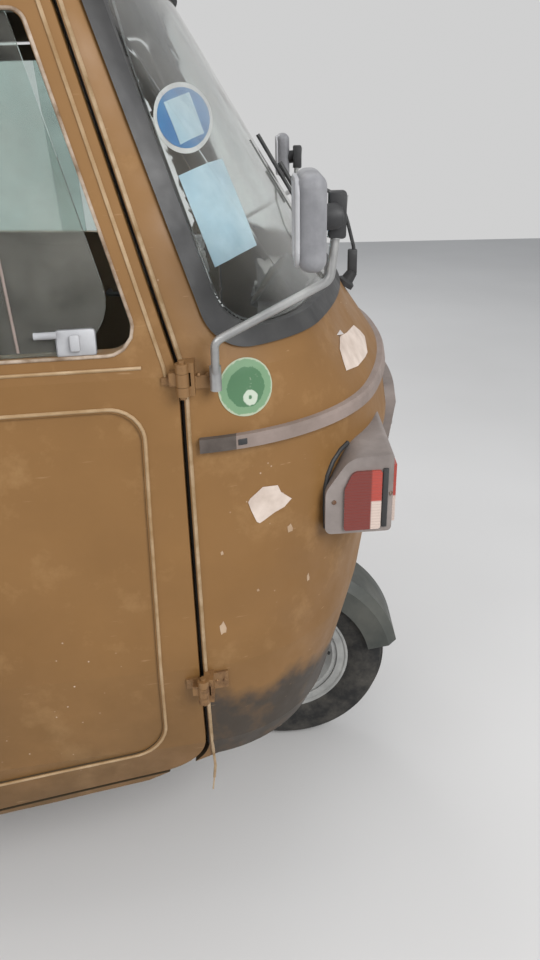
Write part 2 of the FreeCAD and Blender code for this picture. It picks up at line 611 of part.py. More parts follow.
def make_chassis():
    top = REAR_RAIL_Z + RAIL_H

    def rail(side):
        y = side * RAIL_Y
        low = sill_z(BED_FRONT_X)
        return side_prism([
            (RAIL_FRONT_X, sill_z(RAIL_FRONT_X) - RAIL_H, 0), (RAIL_FRONT_X, sill_z(RAIL_FRONT_X), 0),
            (BED_FRONT_X, low, 40), (-260, top, 60), (RAIL_END_X, top, 0), (RAIL_END_X, REAR_RAIL_Z, 0),
            (-284, REAR_RAIL_Z, 60), (-140, low - RAIL_H, 40)], y - RAIL_W / 2, y + RAIL_W / 2)

    frame = rail(1)
    members = [box(x, x + 50, -RAIL_Y, RAIL_Y, sill_z(x) - 44, sill_z(x) - 10) for x in (60, 490)]
    members += [box(x - 30, x + 30, -RAIL_Y, RAIL_Y, REAR_RAIL_Z + 8, REAR_RAIL_Z + 44)
                for x in (-330, ENGINE_FRONT_X - 60, ENGINE_REAR_X + 60, RAIL_END_X + 30)]
    members += [box(x - 24, x + 24, -40, 40, ENGINE_TOP_Z, REAR_RAIL_Z + 8)
                for x in (ENGINE_FRONT_X - 60, ENGINE_REAR_X + 60)]
    end_half = BED_HALF - 40
    members.append(box(RAIL_END_X - 20, RAIL_END_X, -end_half, end_half, REAR_RAIL_Z + 5, top))
    arms, struts, shafts = [], [], []
    wheel_in = REAR_TRACK / 2 - HUB_W / 2
    inner_y = RAIL_Y + RAIL_W / 2 + 16
    for side in (-1, 1):
        pivot = side * (inner_y + 26)
        tube = bent_rod([(PIVOT_X, pivot, PIVOT_Z), (REAR_AXLE_X + 160, pivot, PIVOT_Z - 60),
                         (REAR_AXLE_X, side * (wheel_in - 38), TYRE_R)], ARM_R, 60)
        stub = rod((REAR_AXLE_X, side * (wheel_in - 60), TYRE_R),
                   (REAR_AXLE_X, side * (wheel_in + HUB_W + 6), TYRE_R), AXLE_R)
        boss = rod((PIVOT_X, pivot - 26, PIVOT_Z), (PIVOT_X, pivot + 26, PIVOT_Z), ARM_R + 4)
        flange = rod((REAR_AXLE_X, side * (wheel_in - 60), TYRE_R),
                     (REAR_AXLE_X, side * (wheel_in - GAP), TYRE_R), 2 * ARM_R)
        arm = tube.fuse([stub, boss, flange])
        arms.append(arm)
        bracket_y = side * (inner_y - 8)
        members.append(side_prism([
            (PIVOT_X - 30, PIVOT_Z - 30, 10), (PIVOT_X + 30, PIVOT_Z - 30, 10),
            (PIVOT_X, top, 0), (PIVOT_X - 80, top, 0)], bracket_y - 8, bracket_y + 8))
        foot, head = (DAMPER_X, side * 362, 250), (DAMPER_X, side * (inner_y + 14), BED_FLOOR_Z - 70)
        middle = [(a + b) / 2 for a, b in zip(foot, head)]
        eye = rod((DAMPER_X, side * (inner_y - 16), head[2]),
                  (DAMPER_X, side * (inner_y + 30), head[2]), AXLE_R)
        struts.append(rod(foot, middle, 14).fuse([rod(middle, head, 26), eye]).cut(arm))
        shaft = rod((REAR_AXLE_X, side * ENGINE_HALF, TYRE_R + 45),
                    (REAR_AXLE_X, side * (wheel_in - 60), TYRE_R), AXLE_R + 1)
        shafts.append(shaft.cut(arm))
    keep("chassis", frame.fuse([rail(-1)] + members).removeSplitter())
    keep("rear_arms", *arms)
    keep("rear_dampers", *struts)
    keep("half_shafts", *shafts)
    engine = box(ENGINE_REAR_X, ENGINE_FRONT_X, -ENGINE_HALF, ENGINE_HALF, ENGINE_LOW_Z, ENGINE_TOP_Z)
    keep("engine", engine.makeFillet(24, engine.Edges))
    y, front = SILENCER_Y, ENGINE_REAR_X - 80
    drum = rod((front, y, PIVOT_Z), (front - SILENCER_L, y, PIVOT_Z), SILENCER_R)
    pipe = bent_rod([
        (ENGINE_REAR_X, y, PIVOT_Z - 30), (ENGINE_REAR_X - 40, y, PIVOT_Z - 30),
        (front - 5, y, PIVOT_Z)], 16, 30)
    keep("exhaust", drum.fuse(pipe))


def make_bed():
    rear = REAR_X + TAIL_T + GAP
    low, skin = BED_FLOOR_Z, BED_HALF - BED_RIB
    bottom, inside = low - BED_PLATE, skin - BED_WALL
    floor = box(rear, BED_FRONT_X - BED_WALL, -inside, inside, bottom, low)
    for x in spread(BED_FRONT_X - 60, rear + 96, BEARER_COUNT):
        floor = floor.fuse(box(x - BEARER_W / 2, x + BEARER_W / 2, 20 - BED_HALF, BED_HALF - 20,
                               REAR_RAIL_Z + RAIL_H, bottom))
    walls = box(rear, BED_FRONT_X, -skin, skin, bottom, BED_TOP_Z)
    ribs = [box(x - 18, x + 18, -BED_HALF, BED_HALF, bottom, BED_TOP_Z)
            for x in spread(BED_FRONT_X - 30, rear + 24, BED_RIB_COUNT)]
    walls = walls.fuse(ribs + [box(rear, BED_FRONT_X, -BED_HALF, BED_HALF, BED_TOP_Z - 28, BED_TOP_Z)])
    keep("bed_walls", walls.cut(
        box(rear, BED_FRONT_X - BED_WALL, -inside, inside, bottom, BED_TOP_Z)).removeSplitter())
    gate = box(REAR_X, REAR_X + TAIL_T, -BED_HALF, BED_HALF, low + GAP, BED_TOP_Z)
    press = box(REAR_X, REAR_X + 5, 40, BED_HALF - 40, low + 80, BED_TOP_Z - 32)
    gate = gate.cut(both(press))
    pin_x, pin_z, pin_r = REAR_X + TAIL_T / 2, low - GAP, TAIL_PIN_R
    barrels, knuckles, seats = [], [], []
    for y in spread(230 - BED_HALF, BED_HALF - 230, TAIL_HINGE_COUNT):
        hole = rod((pin_x, y - 21, pin_z), (pin_x, y + 21, pin_z), pin_r + FIT)
        eye = rod((pin_x, y - 20, pin_z), (pin_x, y + 20, pin_z), pin_r + 4)
        strap = box(pin_x - 9, pin_x - 4, y - 20, y + 20, pin_z, low + GAP + 60)
        knuckles.append(eye.fuse(strap).cut(hole))
        seats.append(strap)
        lugs = [box(pin_x, rear, y + s * 21 - (6 if s < 0 else 0), y + s * 21 + (6 if s > 0 else 0),
                    pin_z - 9, pin_z + 5) for s in (-1, 1)]
        barrels.append(rod((pin_x, y - 27, pin_z), (pin_x, y + 27, pin_z), pin_r).fuse(lugs))
    keep("tailgate", gate.cut(seats).fuse(knuckles))
    keep("bed_floor", floor.fuse(barrels))
    lamp = box(REAR_X + 8, RAIL_END_X - 20, BED_HALF - 190, BED_HALF - 70, REAR_RAIL_Z, REAR_RAIL_Z + 60)
    keep("tail_lamps", *both(lamp))
    guards = []
    for side in (-1, 1):
        y0, y1 = side * REAR_TRACK / 2 - GUARD_HALF, side * REAR_TRACK / 2 + GUARD_HALF
        centre = Vector(REAR_AXLE_X, y0, TYRE_R + 20)
        outer, inner = [Part.makeCylinder(radius, y1 - y0, centre, Vector(0, 1, 0))
                        for radius in (REAR_GUARD_R, REAR_GUARD_R - REAR_GUARD_T)]
        top = box(REAR_AXLE_X - 300, REAR_AXLE_X + 300, y0, y1, TYRE_R + 20, BED_FLOOR_Z)
        stay = box(REAR_AXLE_X - 20, REAR_AXLE_X + 20, y0 + 30, y1 - 30, REAR_GUARD_R, low - BED_PLATE)
        guards.append(outer.cut(inner).common(top).fuse(stay.cut(outer)))
    keep("rear_mudguards", *guards)


make_cab()
make_screen()
make_nose_fittings()
make_mirrors()
keep("hinge_lugs", *(make_door(-1) + make_door(1)))
make_wheel("front_wheel", FRONT_AXLE_X, 0, 1)
make_wheel("rear_right_wheel", REAR_AXLE_X, -REAR_TRACK / 2, -1)
make_wheel("rear_left_wheel", REAR_AXLE_X, REAR_TRACK / 2, 1)
make_steering()
make_cockpit()
make_chassis()
make_bed()

os.makedirs("parts", exist_ok=True)
for name, shape in PARTS.items():
    shape.exportStep("parts/" + name + ".step")
    print(name, len(shape.Solids), shape.isValid(), round(shape.Volume / 1e6, 3))
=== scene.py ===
import math

import bpy
from mathutils import Matrix, Vector


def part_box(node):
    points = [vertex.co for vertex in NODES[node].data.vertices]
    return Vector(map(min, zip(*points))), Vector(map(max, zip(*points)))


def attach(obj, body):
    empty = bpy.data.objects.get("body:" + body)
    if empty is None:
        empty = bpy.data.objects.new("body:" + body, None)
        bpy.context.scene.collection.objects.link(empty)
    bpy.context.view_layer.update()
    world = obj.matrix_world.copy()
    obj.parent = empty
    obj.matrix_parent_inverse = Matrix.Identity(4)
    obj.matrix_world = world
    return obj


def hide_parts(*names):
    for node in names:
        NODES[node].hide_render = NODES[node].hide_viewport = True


# A worn ochre cargo auto rickshaw. Metres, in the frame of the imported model: X forward, Y left, Z up.

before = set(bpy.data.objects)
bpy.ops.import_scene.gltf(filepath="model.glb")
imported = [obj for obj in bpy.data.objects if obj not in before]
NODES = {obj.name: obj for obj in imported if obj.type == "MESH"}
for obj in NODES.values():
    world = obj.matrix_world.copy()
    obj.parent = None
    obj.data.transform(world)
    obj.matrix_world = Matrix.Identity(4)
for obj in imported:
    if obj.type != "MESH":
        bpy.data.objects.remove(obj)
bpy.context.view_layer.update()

# Places shared by several pieces, in millimetres as at() takes them
DOOR_LINE_X = 0.20024
OUTSIDE = -900
HINGE_LINE = 689
HINGE_X = DOOR_LINE_X + HINGE_LINE / 1000
HINGE_HEIGHTS = (534, 1000)
BELT = 1000
PILLAR_LEAN = 0.286
REAR_AXLE, TRACK_HALF = -775, 530
REAR_END, BED_FRONT, BED_HALF, BED_FLOOR = -1450, -120, 630, 600
RAIL_END = REAR_END + 60
BAR_END, BAR_BEND = (629, 250, 1043), (663, 90, 1049)
MIRROR = Matrix.Scale(-1, 4, Vector((0, 1, 0)))

# The photograph's camera: its place, how far it looks down and leans, and its lens
CAMERA_AT = Vector((0.9902, -1.410, 1.290))
LOOKS_DOWN = math.radians(25.4)
LEANS = math.radians(1.2)
LENS = 29.55


def at(x, y, z):
    """A place from millimetres ahead of the doors' rear line, to the left and up."""
    return Vector((DOOR_LINE_X + x / 1000, y / 1000, z / 1000))


def mm(x, y, z):
    """A step in millimetres."""
    return Vector((x / 1000, y / 1000, z / 1000))


def struck(node, start, toward):
    """Where a line meets a CAD node, and the way the surface faces there."""
    hit, place, normal, _ = NODES[node].ray_cast(start, Vector(toward))
    if not hit:
        raise ValueError("nothing of " + node + " at " + str(tuple(start)))
    return place, normal


def right_side(node, x, z):
    return struck(node, at(x, OUTSIDE, z), (0, 1, 0))


def on_cab_floor(x, y):
    return struck("cab_floor", at(x, y, 800), (0, 0, -1))[0]


def beside(node, x, z, out=0.0):
    """A place on the right-hand outside of a node, out from it by some millimetres."""
    place, normal = right_side(node, x, z)
    return place + normal * out / 1000


def round_points(across, up, count):
    """Points round an ellipse from its half sizes."""
    return [(across * math.cos(a), up * math.sin(a)) for a in (math.tau * i / count for i in range(count))]


def rounded(corners, steps=5):
    """Points along a closed outline; corners are (u, v, radius)."""
    points = []
    for i, (u, v, radius) in enumerate(corners):
        here = Vector((u, v))
        back = (Vector(corners[i - 1][:2]) - here).normalized()
        ahead = (Vector(corners[(i + 1) % len(corners)][:2]) - here).normalized()
        half = back.angle(ahead) / 2
        reach = radius / math.tan(half)
        middle = here + (back + ahead).normalized() * radius / math.sin(half)
        for k in range(steps + 1):
            spoke = (here + back * reach).lerp(here + ahead * reach, k / steps) - middle
            points.append(middle + spoke.normalized() * radius)
    return points


def stepped(corners, step=60):
    """The corners of an outline with points between them, no further apart than the step."""
    points = []
    for first, last in zip(corners, corners[1:] + corners[:1]):
        count = max(1, math.ceil(math.dist(first, last) / step))
        for i in range(count):
            points.append(tuple(a + (b - a) * i / count for a, b in zip(first, last)))
    return points


# Modelling. Places are vectors in metres; bevels, radii, profiles and outlines are in millimetres.

def nothing_selected():
    if bpy.context.object and bpy.context.object.mode != "OBJECT":
        bpy.ops.object.mode_set(mode="OBJECT")
    bpy.ops.object.select_all(action="DESELECT")


def edit():
    bpy.ops.object.mode_set(mode="EDIT")
    bpy.ops.mesh.select_all(action="SELECT")


def leave():
    bpy.ops.object.mode_set(mode="OBJECT")
    return bpy.context.object


def closed():
    """Merge what meets, turn the faces outwards and leave edit mode."""
    bpy.ops.mesh.remove_doubles(threshold=0.00002)
    bpy.ops.mesh.normals_make_consistent(inside=False)
    return leave()


def only(piece):
    nothing_selected()
    piece.select_set(True)
    bpy.context.view_layer.objects.active = piece


def slab(low, high, bevel=2, segments=2):
    """A cube stretched between two corners, with its edges broken."""
    nothing_selected()
    bpy.ops.mesh.primitive_cube_add(size=1, location=(low + high) / 2, scale=high - low)
    bpy.ops.object.transform_apply(location=True, rotation=True, scale=True)
    edit()
    bpy.ops.mesh.bevel(offset=bevel / 1000, segments=segments, affect="EDGES")
    return leave()


def chain(points):
    """A line of vertices, extruded from point to point, left in edit mode."""
    nothing_selected()
    bpy.ops.mesh.primitive_plane_add(size=0.001, location=points[0])
    bpy.ops.object.transform_apply(location=True, rotation=True, scale=True)
    edit()
    bpy.ops.mesh.merge(type="CENTER")
    for here, there in zip(points, points[1:]):
        bpy.ops.mesh.extrude_region_move(TRANSFORM_OT_translate={"value": Vector(there) - Vector(here)})
    bpy.ops.mesh.select_all(action="SELECT")


def turned(profile, centre, axis, steps=40):
    """A round piece: a profile of (along, radius), spun about an axis."""
    axis = Vector(axis).normalized()
    side = axis.orthogonal().normalized()
    chain([centre + axis * (along / 1000) + side * (radius / 1000) for along, radius in profile])
    bpy.ops.mesh.spin(steps=steps, angle=math.tau, center=centre, axis=axis)
    bpy.ops.mesh.select_all(action="SELECT")
    return closed()


def wire(points, radius, bend=0, sides=3):
    """A round bar along the points, with its corners rounded."""
    chain(points)
    if bend:
        bpy.ops.mesh.bevel(offset=bend / 1000, segments=5, affect="VERTICES")
    leave()
    bpy.ops.object.convert(target="CURVE")
    curve = bpy.context.object.data
    curve.bevel_depth = radius / 1000
    curve.bevel_resolution = sides
    curve.use_fill_caps = True
    bpy.ops.object.convert(target="MESH")
    edit()
    return closed()


def loop(points, radius, sides=2):
    """A closed round wire."""
    return wire(points + [points[0]], radius, sides=sides)


def plate(outline, thickness, bevel=0):
    """A flat plate: an outline filled and extruded by the vector thickness."""
    chain(outline)
    bpy.ops.mesh.edge_face_add()
    bpy.ops.mesh.extrude_region_move(TRANSFORM_OT_translate={"value": thickness})
    bpy.ops.mesh.select_all(action="SELECT")
    bpy.ops.mesh.normals_make_consistent(inside=False)
    if bevel:
        bpy.ops.mesh.bevel(offset=bevel / 1000, segments=2, affect="EDGES")
    return leave()


def film(centre, facing, outline, node, lift=0.6, thick=0.3):
    """A thin piece laid on a node: an outline across and up, seen from facing."""
    facing = Vector(facing).normalized()
    right = Vector((0, 0, 1)).cross(facing).normalized()
    top = facing.cross(right)
    return laid([centre + right * u / 1000 + top * v / 1000 for u, v in outline], node, lift, thick)


def film_seen(centre, outline, node, lift=0.6, thick=0.3, behind=0):
    """A film whose outline, across and up, is cast from the camera onto a slanting node."""
    centre = Vector(centre)
    sight = (centre - CAMERA_AT).normalized()
    right = sight.cross(Vector((0, 0, 1))).normalized()
    top = right.cross(sight)
    points = []
    for u, v in outline:
        aim = centre + right * u / 1000 + top * v / 1000
        hit, place, _, _ = NODES[node].ray_cast(CAMERA_AT, aim - CAMERA_AT)
        if hit:
            points.append(place + sight * (behind / 1000))
    return laid(points, node, lift, thick)


def laid(points, node, lift, thick):
    """A thin piece filled between points and pressed onto a node."""
    chain(points)
    bpy.ops.mesh.edge_face_add()
    bpy.ops.mesh.quads_convert_to_tris(ngon_method="BEAUTY")
    bpy.ops.mesh.subdivide(number_cuts=3)
    piece = leave()
    with_modifier(piece, "SHRINKWRAP", target=NODES[node], wrap_method="NEAREST_SURFACEPOINT",
                  wrap_mode="ABOVE_SURFACE", offset=lift / 1000)
    with_modifier(piece, "SOLIDIFY", thickness=thick / 1000, offset=0)
    only(piece)
    edit()
    bpy.ops.mesh.normals_make_consistent(inside=False)
    return leave()


def with_modifier(piece, kind, **settings):
    only(piece)
    modifier = piece.modifiers.new(kind.title(), kind)
    for key, value in settings.items():
        setattr(modifier, key, value)
    bpy.ops.object.modifier_apply(modifier=modifier.name)


def swung(piece, angle, about):
    """Swing a piece's mesh about a line that runs across the vehicle."""
    about = Vector(about)
    turn = Matrix.Rotation(angle, 4, "Y")
    piece.data.transform(Matrix.Translation(about) @ turn @ Matrix.Translation(-about))
    return piece


def set_on(piece, place, normal):
    """Set a piece, made at the origin with its outside towards -Y, onto a surface."""
    piece.data.transform(Matrix.Translation(place) @ normal.to_track_quat("-Y", "Z").to_matrix().to_4x4())
    return piece


def copied(piece):
    twin = piece.copy()
    twin.data = piece.data.copy()
    bpy.context.collection.objects.link(twin)
    return twin


def mirrored(piece):
    """The same piece on the other side of the vehicle."""
    twin = copied(piece)
    twin.data.transform(MIRROR)
    twin.data.flip_normals()
    return twin


def joined(pieces):
    nothing_selected()
    for piece in pieces:
        piece.select_set(True)
    bpy.context.view_layer.objects.active = pieces[0]
    if len(pieces) > 1:
        bpy.ops.object.join()
    return pieces[0]


def done(pieces, name, finish, slot="", body="root", smooth=32):
    """Join, name and finish pieces and let them ride on a body. A slot is looked up from the finish when none
    is given, but it is not applied.
    """
    piece = joined(pieces) if isinstance(pieces, list) else pieces
    only(piece)
    piece.name = name
    piece.data.name = name
    piece.data.materials.clear()
    piece.data.materials.append(finish)
    bpy.ops.object.shade_smooth_by_angle(angle=math.radians(smooth))
    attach(piece, body)
    slot = SLOT_OF.get(finish.name) if slot == "" else slot


def done_both(pieces, name, finish):
    """Pieces together with their twins on the other side."""
    done(pieces + [mirrored(piece) for piece in pieces], name, finish)


def done_on_doors(piece, name, finish):
    """The piece on the right door and its twin on the left one."""
    left = mirrored(piece)
    done(piece, "door_right_" + name, finish, body="door_right")
    done(left, "door_left_" + name, finish, body="door_left")


# Finishes

class Nodes:
    """A node tree and the ways to add to it."""

    def __init__(self, tree):
        self.tree = tree

    def put(self, value, socket):
        """Link an output to a socket, or set the socket to a value."""
        if isinstance(value, bpy.types.NodeSocket):
            self.tree.links.new(value, socket)
        else:
            socket.default_value = value

    def node(self, kind, **given):
        """A new node. Capitalised names are its inputs, the others are its settings."""
        node = self.tree.nodes.new("ShaderNode" + kind)
        for key, value in given.items():
            if key[0].isupper():
                self.put(value, node.inputs[key.replace("_", " ")])
            else:
                setattr(node, key, value)
        return node

    def maths(self, operation, *values, kind="Math", out="Value"):
        node = self.node(kind, operation=operation)
        for value, socket in zip(values, node.inputs):
            self.put(value, socket)
        return node.outputs[out]

    def output(self, amount, first, second, last):
        """Send two shaders, mixed by an amount, to the tree's last node."""
        blend = self.node("MixShader", Fac=amount)
        self.put(first, blend.inputs[1])
        self.put(second, blend.inputs[2])
        self.put(blend.outputs["Shader"], self.tree.nodes[last].inputs["Surface"])


class Finish(Nodes):
    """A material read on Object coordinates."""

    def __init__(self, name, **sockets):
        self.material = bpy.data.materials.new(name)
        self.material.use_nodes = True
        super().__init__(self.material.node_tree)
        self.shader = self.tree.nodes["Principled BSDF"]
        self.place = self.node("TexCoord").outputs["Object"]
        for key, value in sockets.items():
            self.put(value, self.shader.inputs[key.replace("_", " ")])

    def noise(self, scale, detail=4.0, rough=0.55, vector=None):
        return self.node("TexNoise", Scale=scale, Detail=detail, Roughness=rough,
                         Vector=vector or self.place).outputs["Fac"]

    def cells(self, scale):
        return self.node("TexVoronoi", Scale=scale, Vector=self.place).outputs["Distance"]

    def waves(self, scale, direction):
        return self.node("TexWave", bands_direction=direction, Scale=scale, Vector=self.place).outputs["Fac"]

    def along(self, axis):
        return self.node("SeparateXYZ", Vector=self.place).outputs[axis]

    def distance(self, point):
        return self.maths("DISTANCE", self.place, point, kind="VectorMath")

    def range(self, value, low, high, to_low=0.0, to_high=1.0):
        return self.node("MapRange", Value=value, From_Min=low, From_Max=high, To_Min=to_low,
                         To_Max=to_high).outputs["Result"]

    def within(self, value, limit, edge):
        """One below a limit, or above it where the soft edge is given as a minus."""
        return self.range(value, limit + edge, limit - edge)

    def patches(self, scale, detail, low, high, *to, rough=0.55):
        """Noise stretched to run from 0 to 1, or from one given value to another."""
        return self.range(self.noise(scale, detail, rough), low, high, *to)

    def mix(self, amount, first, second):
        node = self.node("Mix", data_type="RGBA", Factor=amount)
        colours = [socket for socket in node.inputs if socket.type == "RGBA"]
        for value, socket in zip((first, second), colours):
            self.put((*value, 1) if isinstance(value, tuple) else value, socket)
        return [socket for socket in node.outputs if socket.type == "RGBA"][0]

    def bump(self, height, strength, distance=0.001):
        node = self.node("Bump", Strength=strength, Distance=distance, Height=height)
        self.put(node.outputs["Normal"], self.shader.inputs["Normal"])

    def colour(self, out):
        self.put(out, self.shader.inputs["Base Color"])

    def roughness(self, out):
        self.put(out, self.shader.inputs["Roughness"])


CAB_MIDDLE = Vector((0.52, 0, 0.85))
CAB_REAR = 0.145
SCUFF_TOP = 0.515
LENS_FRONT_X = 1.130
LENS_WHITE_Z = 0.792


def painted_inner_shade(f):
    """One where a surface of the cab faces its middle: the mask of painted shade on the cab's inner sides."""
    out = f.maths("SUBTRACT", f.place, CAB_MIDDLE, kind="VectorMath", out="Vector")
    normal = f.node("TexCoord").outputs["Normal"]
    facing = f.maths("DOT_PRODUCT", out, normal, kind="VectorMath")
    behind_wall = f.range(f.along("X"), CAB_REAR, CAB_REAR + 0.01)
    return f.maths("MULTIPLY", f.range(facing, -0.01, -0.06), behind_wall)


def body_enamel():
    """Worn satin ochre enamel: patchy, darker in patches towards the bottom, scuffed grey under the nose,
    with painted shade on the cab's inner sides.
    """
    f = Finish("worn_ochre_enamel", Specular_IOR_Level=0.36)
    base = f.mix(f.patches(3.2, 5, 0.35, 0.68), (0.238, 0.121, 0.038), (0.186, 0.092, 0.027))
    base = f.mix(f.patches(11.0, 6, 0.55, 0.78, rough=0.7), base, (0.29, 0.162, 0.062))
    height = f.along("Z")
    # Darker in patches towards the bottom.
    darker_low_patches = f.maths("MULTIPLY", f.range(height, 0.62, 0.24), f.patches(7.0, 6, 0.25, 0.7))
    base = f.mix(darker_low_patches, base, (0.08, 0.048, 0.02))
    ragged = f.maths("ADD", height, f.patches(9.0, 6, 0.3, 0.7, -0.05, 0.05))
    low = f.range(ragged, SCUFF_TOP, SCUFF_TOP - 0.06)
    ahead = f.within(f.along("X"), HINGE_X, -0.004)
    scuffed = f.maths("MULTIPLY", f.maths("MULTIPLY", low, ahead), f.patches(26.0, 5, 0.2, 0.5, 0.5, 0.95))
    base = f.mix(scuffed, base, (0.036, 0.03, 0.024))
    specks = f.maths("MULTIPLY", f.range(f.cells(60.0), 0.1, 0.03), f.patches(5.0, 3, 0.6, 0.68))
    base = f.mix(specks, base, (0.62, 0.5, 0.4))
    stretched = f.node("Mapping", Scale=(0.25, 1.0, 3.2), Vector=f.place).outputs["Vector"]
    scratches = f.range(f.noise(70.0, 2, 0.5, stretched), 0.72, 0.8, 0.0, 0.4)
    base = f.mix(scratches, base, (0.45, 0.3, 0.17))
    # Painted shade: the cab's inner sides are darkened to a dim brown.
    f.colour(f.mix(painted_inner_shade(f), base, (0.07, 0.052, 0.032)))
    f.roughness(f.patches(14.0, 5, 0.3, 0.75, 0.42, 0.7))
    f.bump(f.maths("ADD", f.noise(4.5, 2), f.maths("MULTIPLY", f.noise(320.0, 2), 0.02)), 0.32, 0.01)
    return f.material


def plain(name, dark, light, scale, rough, metallic=0.0, bump=0.15, **sockets):
    """Two tones of one colour in soft patches, with a matching roughness and a fine grain."""
    f = Finish(name, Metallic=metallic, **sockets)
    f.colour(f.mix(f.patches(scale, 6, 0.32, 0.7, rough=0.6), dark, light))
    f.roughness(f.patches(scale * 1.7, 5, 0.3, 0.7, rough - 0.1, rough + 0.12))
    f.bump(f.noise(scale * 14, 3), bump, 0.0008)
    return f.material


def rusty(name, metal, rust, cover):
    """Steel with rust in blotches."""
    f = Finish(name, Metallic=0.35)
    blotches = f.patches(28.0, 8, cover, cover + 0.16, rough=0.65)
    tones = f.mix(f.patches(90.0, 4, 0.3, 0.7), rust, tuple(c * 0.5 for c in rust))
    f.colour(f.mix(blotches, metal, tones))
    f.roughness(f.range(blotches, 0, 1, 0.38, 0.82))
    f.bump(f.noise(240.0, 4), 0.35, 0.0006)
    return f.material


def tyre_rubber():
    f = Finish("dusty_tyre_rubber", Specular_IOR_Level=0.3)
    dust = f.patches(22.0, 6, 0.4, 0.72, rough=0.65)
    f.colour(f.mix(dust, (0.018, 0.018, 0.018), (0.085, 0.078, 0.068)))
    f.roughness(f.range(dust, 0, 1, 0.68, 0.92))
    f.bump(f.noise(420.0, 2), 0.25, 0.0005)
    return f.material


def clear_glass(name, tint, dust_amount, rough=0.02):
    """Safety glass with a film of dust."""
    f = Finish(name, Transmission_Weight=1.0, IOR=1.25, Base_Color=(*tint, 1))
    dust = f.maths("MULTIPLY", f.patches(5.0, 7, 0.35, 0.75, rough=0.7), dust_amount)
    f.roughness(f.range(dust, 0, 1, rough, 0.45))
    cover = f.node("BsdfDiffuse", Color=(0.52, 0.49, 0.44, 1))
    f.output(dust, f.shader.outputs["BSDF"], cover.outputs["BSDF"], "Material Output")
    return f.material


def fluted_glass():
    """Headlamp glass with upright flutes."""
    f = Finish("fluted_headlamp_glass", Transmission_Weight=1.0, IOR=1.3)
    f.colour(f.mix(f.patches(30.0, 4, 0.4, 0.7), (0.93, 0.94, 0.94), (0.8, 0.79, 0.76)))
    f.roughness(f.patches(60.0, 4, 0.3, 0.7, 0.05, 0.25))
    f.bump(f.waves(26.0, "Y"), 0.5, 0.0012)
    return f.material


def lamp_lens():
    """Corner lamp lens: dark red of painted shade along the side, a lighter clear red painted as lit in
    front, and white below it.
    """
    f = Finish("corner_lamp_lens", Roughness=0.18, Specular_IOR_Level=0.6, Coat_Weight=0.4)
    front = f.within(f.along("X"), LENS_FRONT_X, -0.001)
    lower = f.within(f.along("Z"), LENS_WHITE_Z, 0.001)
    front_tone = f.mix(lower, (0.36, 0.042, 0.026), (0.55, 0.44, 0.38))
    # The side's dark red is painted shade and the front's lighter red is painted light; the white below is
    # the lens's own.
    f.colour(f.mix(front, (0.15, 0.015, 0.008), front_tone))
    f.bump(f.waves(70.0, "Z"), 0.35, 0.001)
    return f.material


def mirror_glass():
    f = Finish("silvered_mirror_glass", Metallic=1.0, Base_Color=(0.82, 0.84, 0.85, 1))
    f.roughness(f.patches(16.0, 5, 0.4, 0.8, 0.03, 0.2))
    return f.material


def seat_vinyl():
    f = Finish("black_seat_vinyl", Specular_IOR_Level=0.4)
    wear = f.patches(8.0, 5, 0.45, 0.7)
    f.colour(f.mix(wear, (0.02, 0.02, 0.022), (0.052, 0.049, 0.046)))
    f.roughness(f.range(wear, 0, 1, 0.4, 0.6))
    f.bump(f.cells(420.0), 0.35, 0.0006)
    return f.material


def worn_paper(name, dark, light):
    f = Finish(name, Roughness=0.72)
    f.colour(f.mix(f.patches(30.0, 6, 0.3, 0.7), dark, light))
    f.bump(f.noise(180.0, 3), 0.2, 0.0004)
    return f.material


# The pale spot on the green sticker and the dark eye in it, in metres
SPOT_RADIUS, EYE_RADIUS = 0.011, 0.0046


def ringed_sticker(name, centre, colours, radii, spot):
    """A round sticker of plain coloured rings, outermost first, with worn edges and a pale spot."""
    f = Finish(name, Roughness=0.55)
    far = f.maths("ADD", f.distance(centre), f.patches(160.0, 5, 0.3, 0.7, -0.0012, 0.0012))
    tone = colours[0]
    for radius, colour in zip(radii, colours[1:]):
        tone = f.mix(f.within(far, radius, 0.0006), tone, colour)
    near = f.maths("ADD", f.distance(centre + spot), f.patches(120.0, 4, 0.3, 0.7, -0.001, 0.001))
    tone = f.mix(f.within(near, SPOT_RADIUS, 0.0005), tone, (0.46, 0.52, 0.42))
    tone = f.mix(f.within(near, EYE_RADIUS, 0.0004), tone, colours[-1])
    f.colour(f.mix(f.patches(75.0, 6, 0.62, 0.7, 0.0, 0.75, rough=0.7), tone, (0.42, 0.44, 0.34)))
    return f.material


GREEN_AT = Vector((0.963, -0.4806, 0.9766))
BLUE_AT = Vector((0.8952, -0.3852, 1.2778))
CARD_AT = Vector((0.9301, -0.4242, 1.1746))

ENAMEL = body_enamel()
CHASSIS = plain("dusty_chassis_black", (0.016, 0.016, 0.016), (0.06, 0.055, 0.048), 9, 0.62)
ZINC = plain("dull_zinc", (0.3, 0.3, 0.3), (0.46, 0.46, 0.45), 24, 0.42, metallic=0.75)
RUST = rusty("rusty_steel", (0.24, 0.2, 0.16), (0.125, 0.05, 0.02), 0.42)
HINGE_STEEL = rusty("worn_hinge_enamel", (0.25, 0.136, 0.055), (0.12, 0.054, 0.024), 0.55)
TYRE = tyre_rubber()
RIM = plain("grey_wheel_enamel", (0.26, 0.26, 0.25), (0.42, 0.42, 0.4), 16, 0.45)
RUBBER = plain("black_moulded_rubber", (0.014, 0.014, 0.015), (0.04, 0.039, 0.038), 12, 0.5, bump=0.1)
GREY_RUBBER = plain("grey_end_cap_rubber", (0.052, 0.04, 0.033), (0.098, 0.078, 0.066), 40, 0.7)
GLASS = clear_glass("cab_glass", (0.9, 0.94, 0.93), 0.13)
PANE_GLASS = clear_glass("sliding_pane_glass", (0.7, 0.8, 0.77), 0.16)
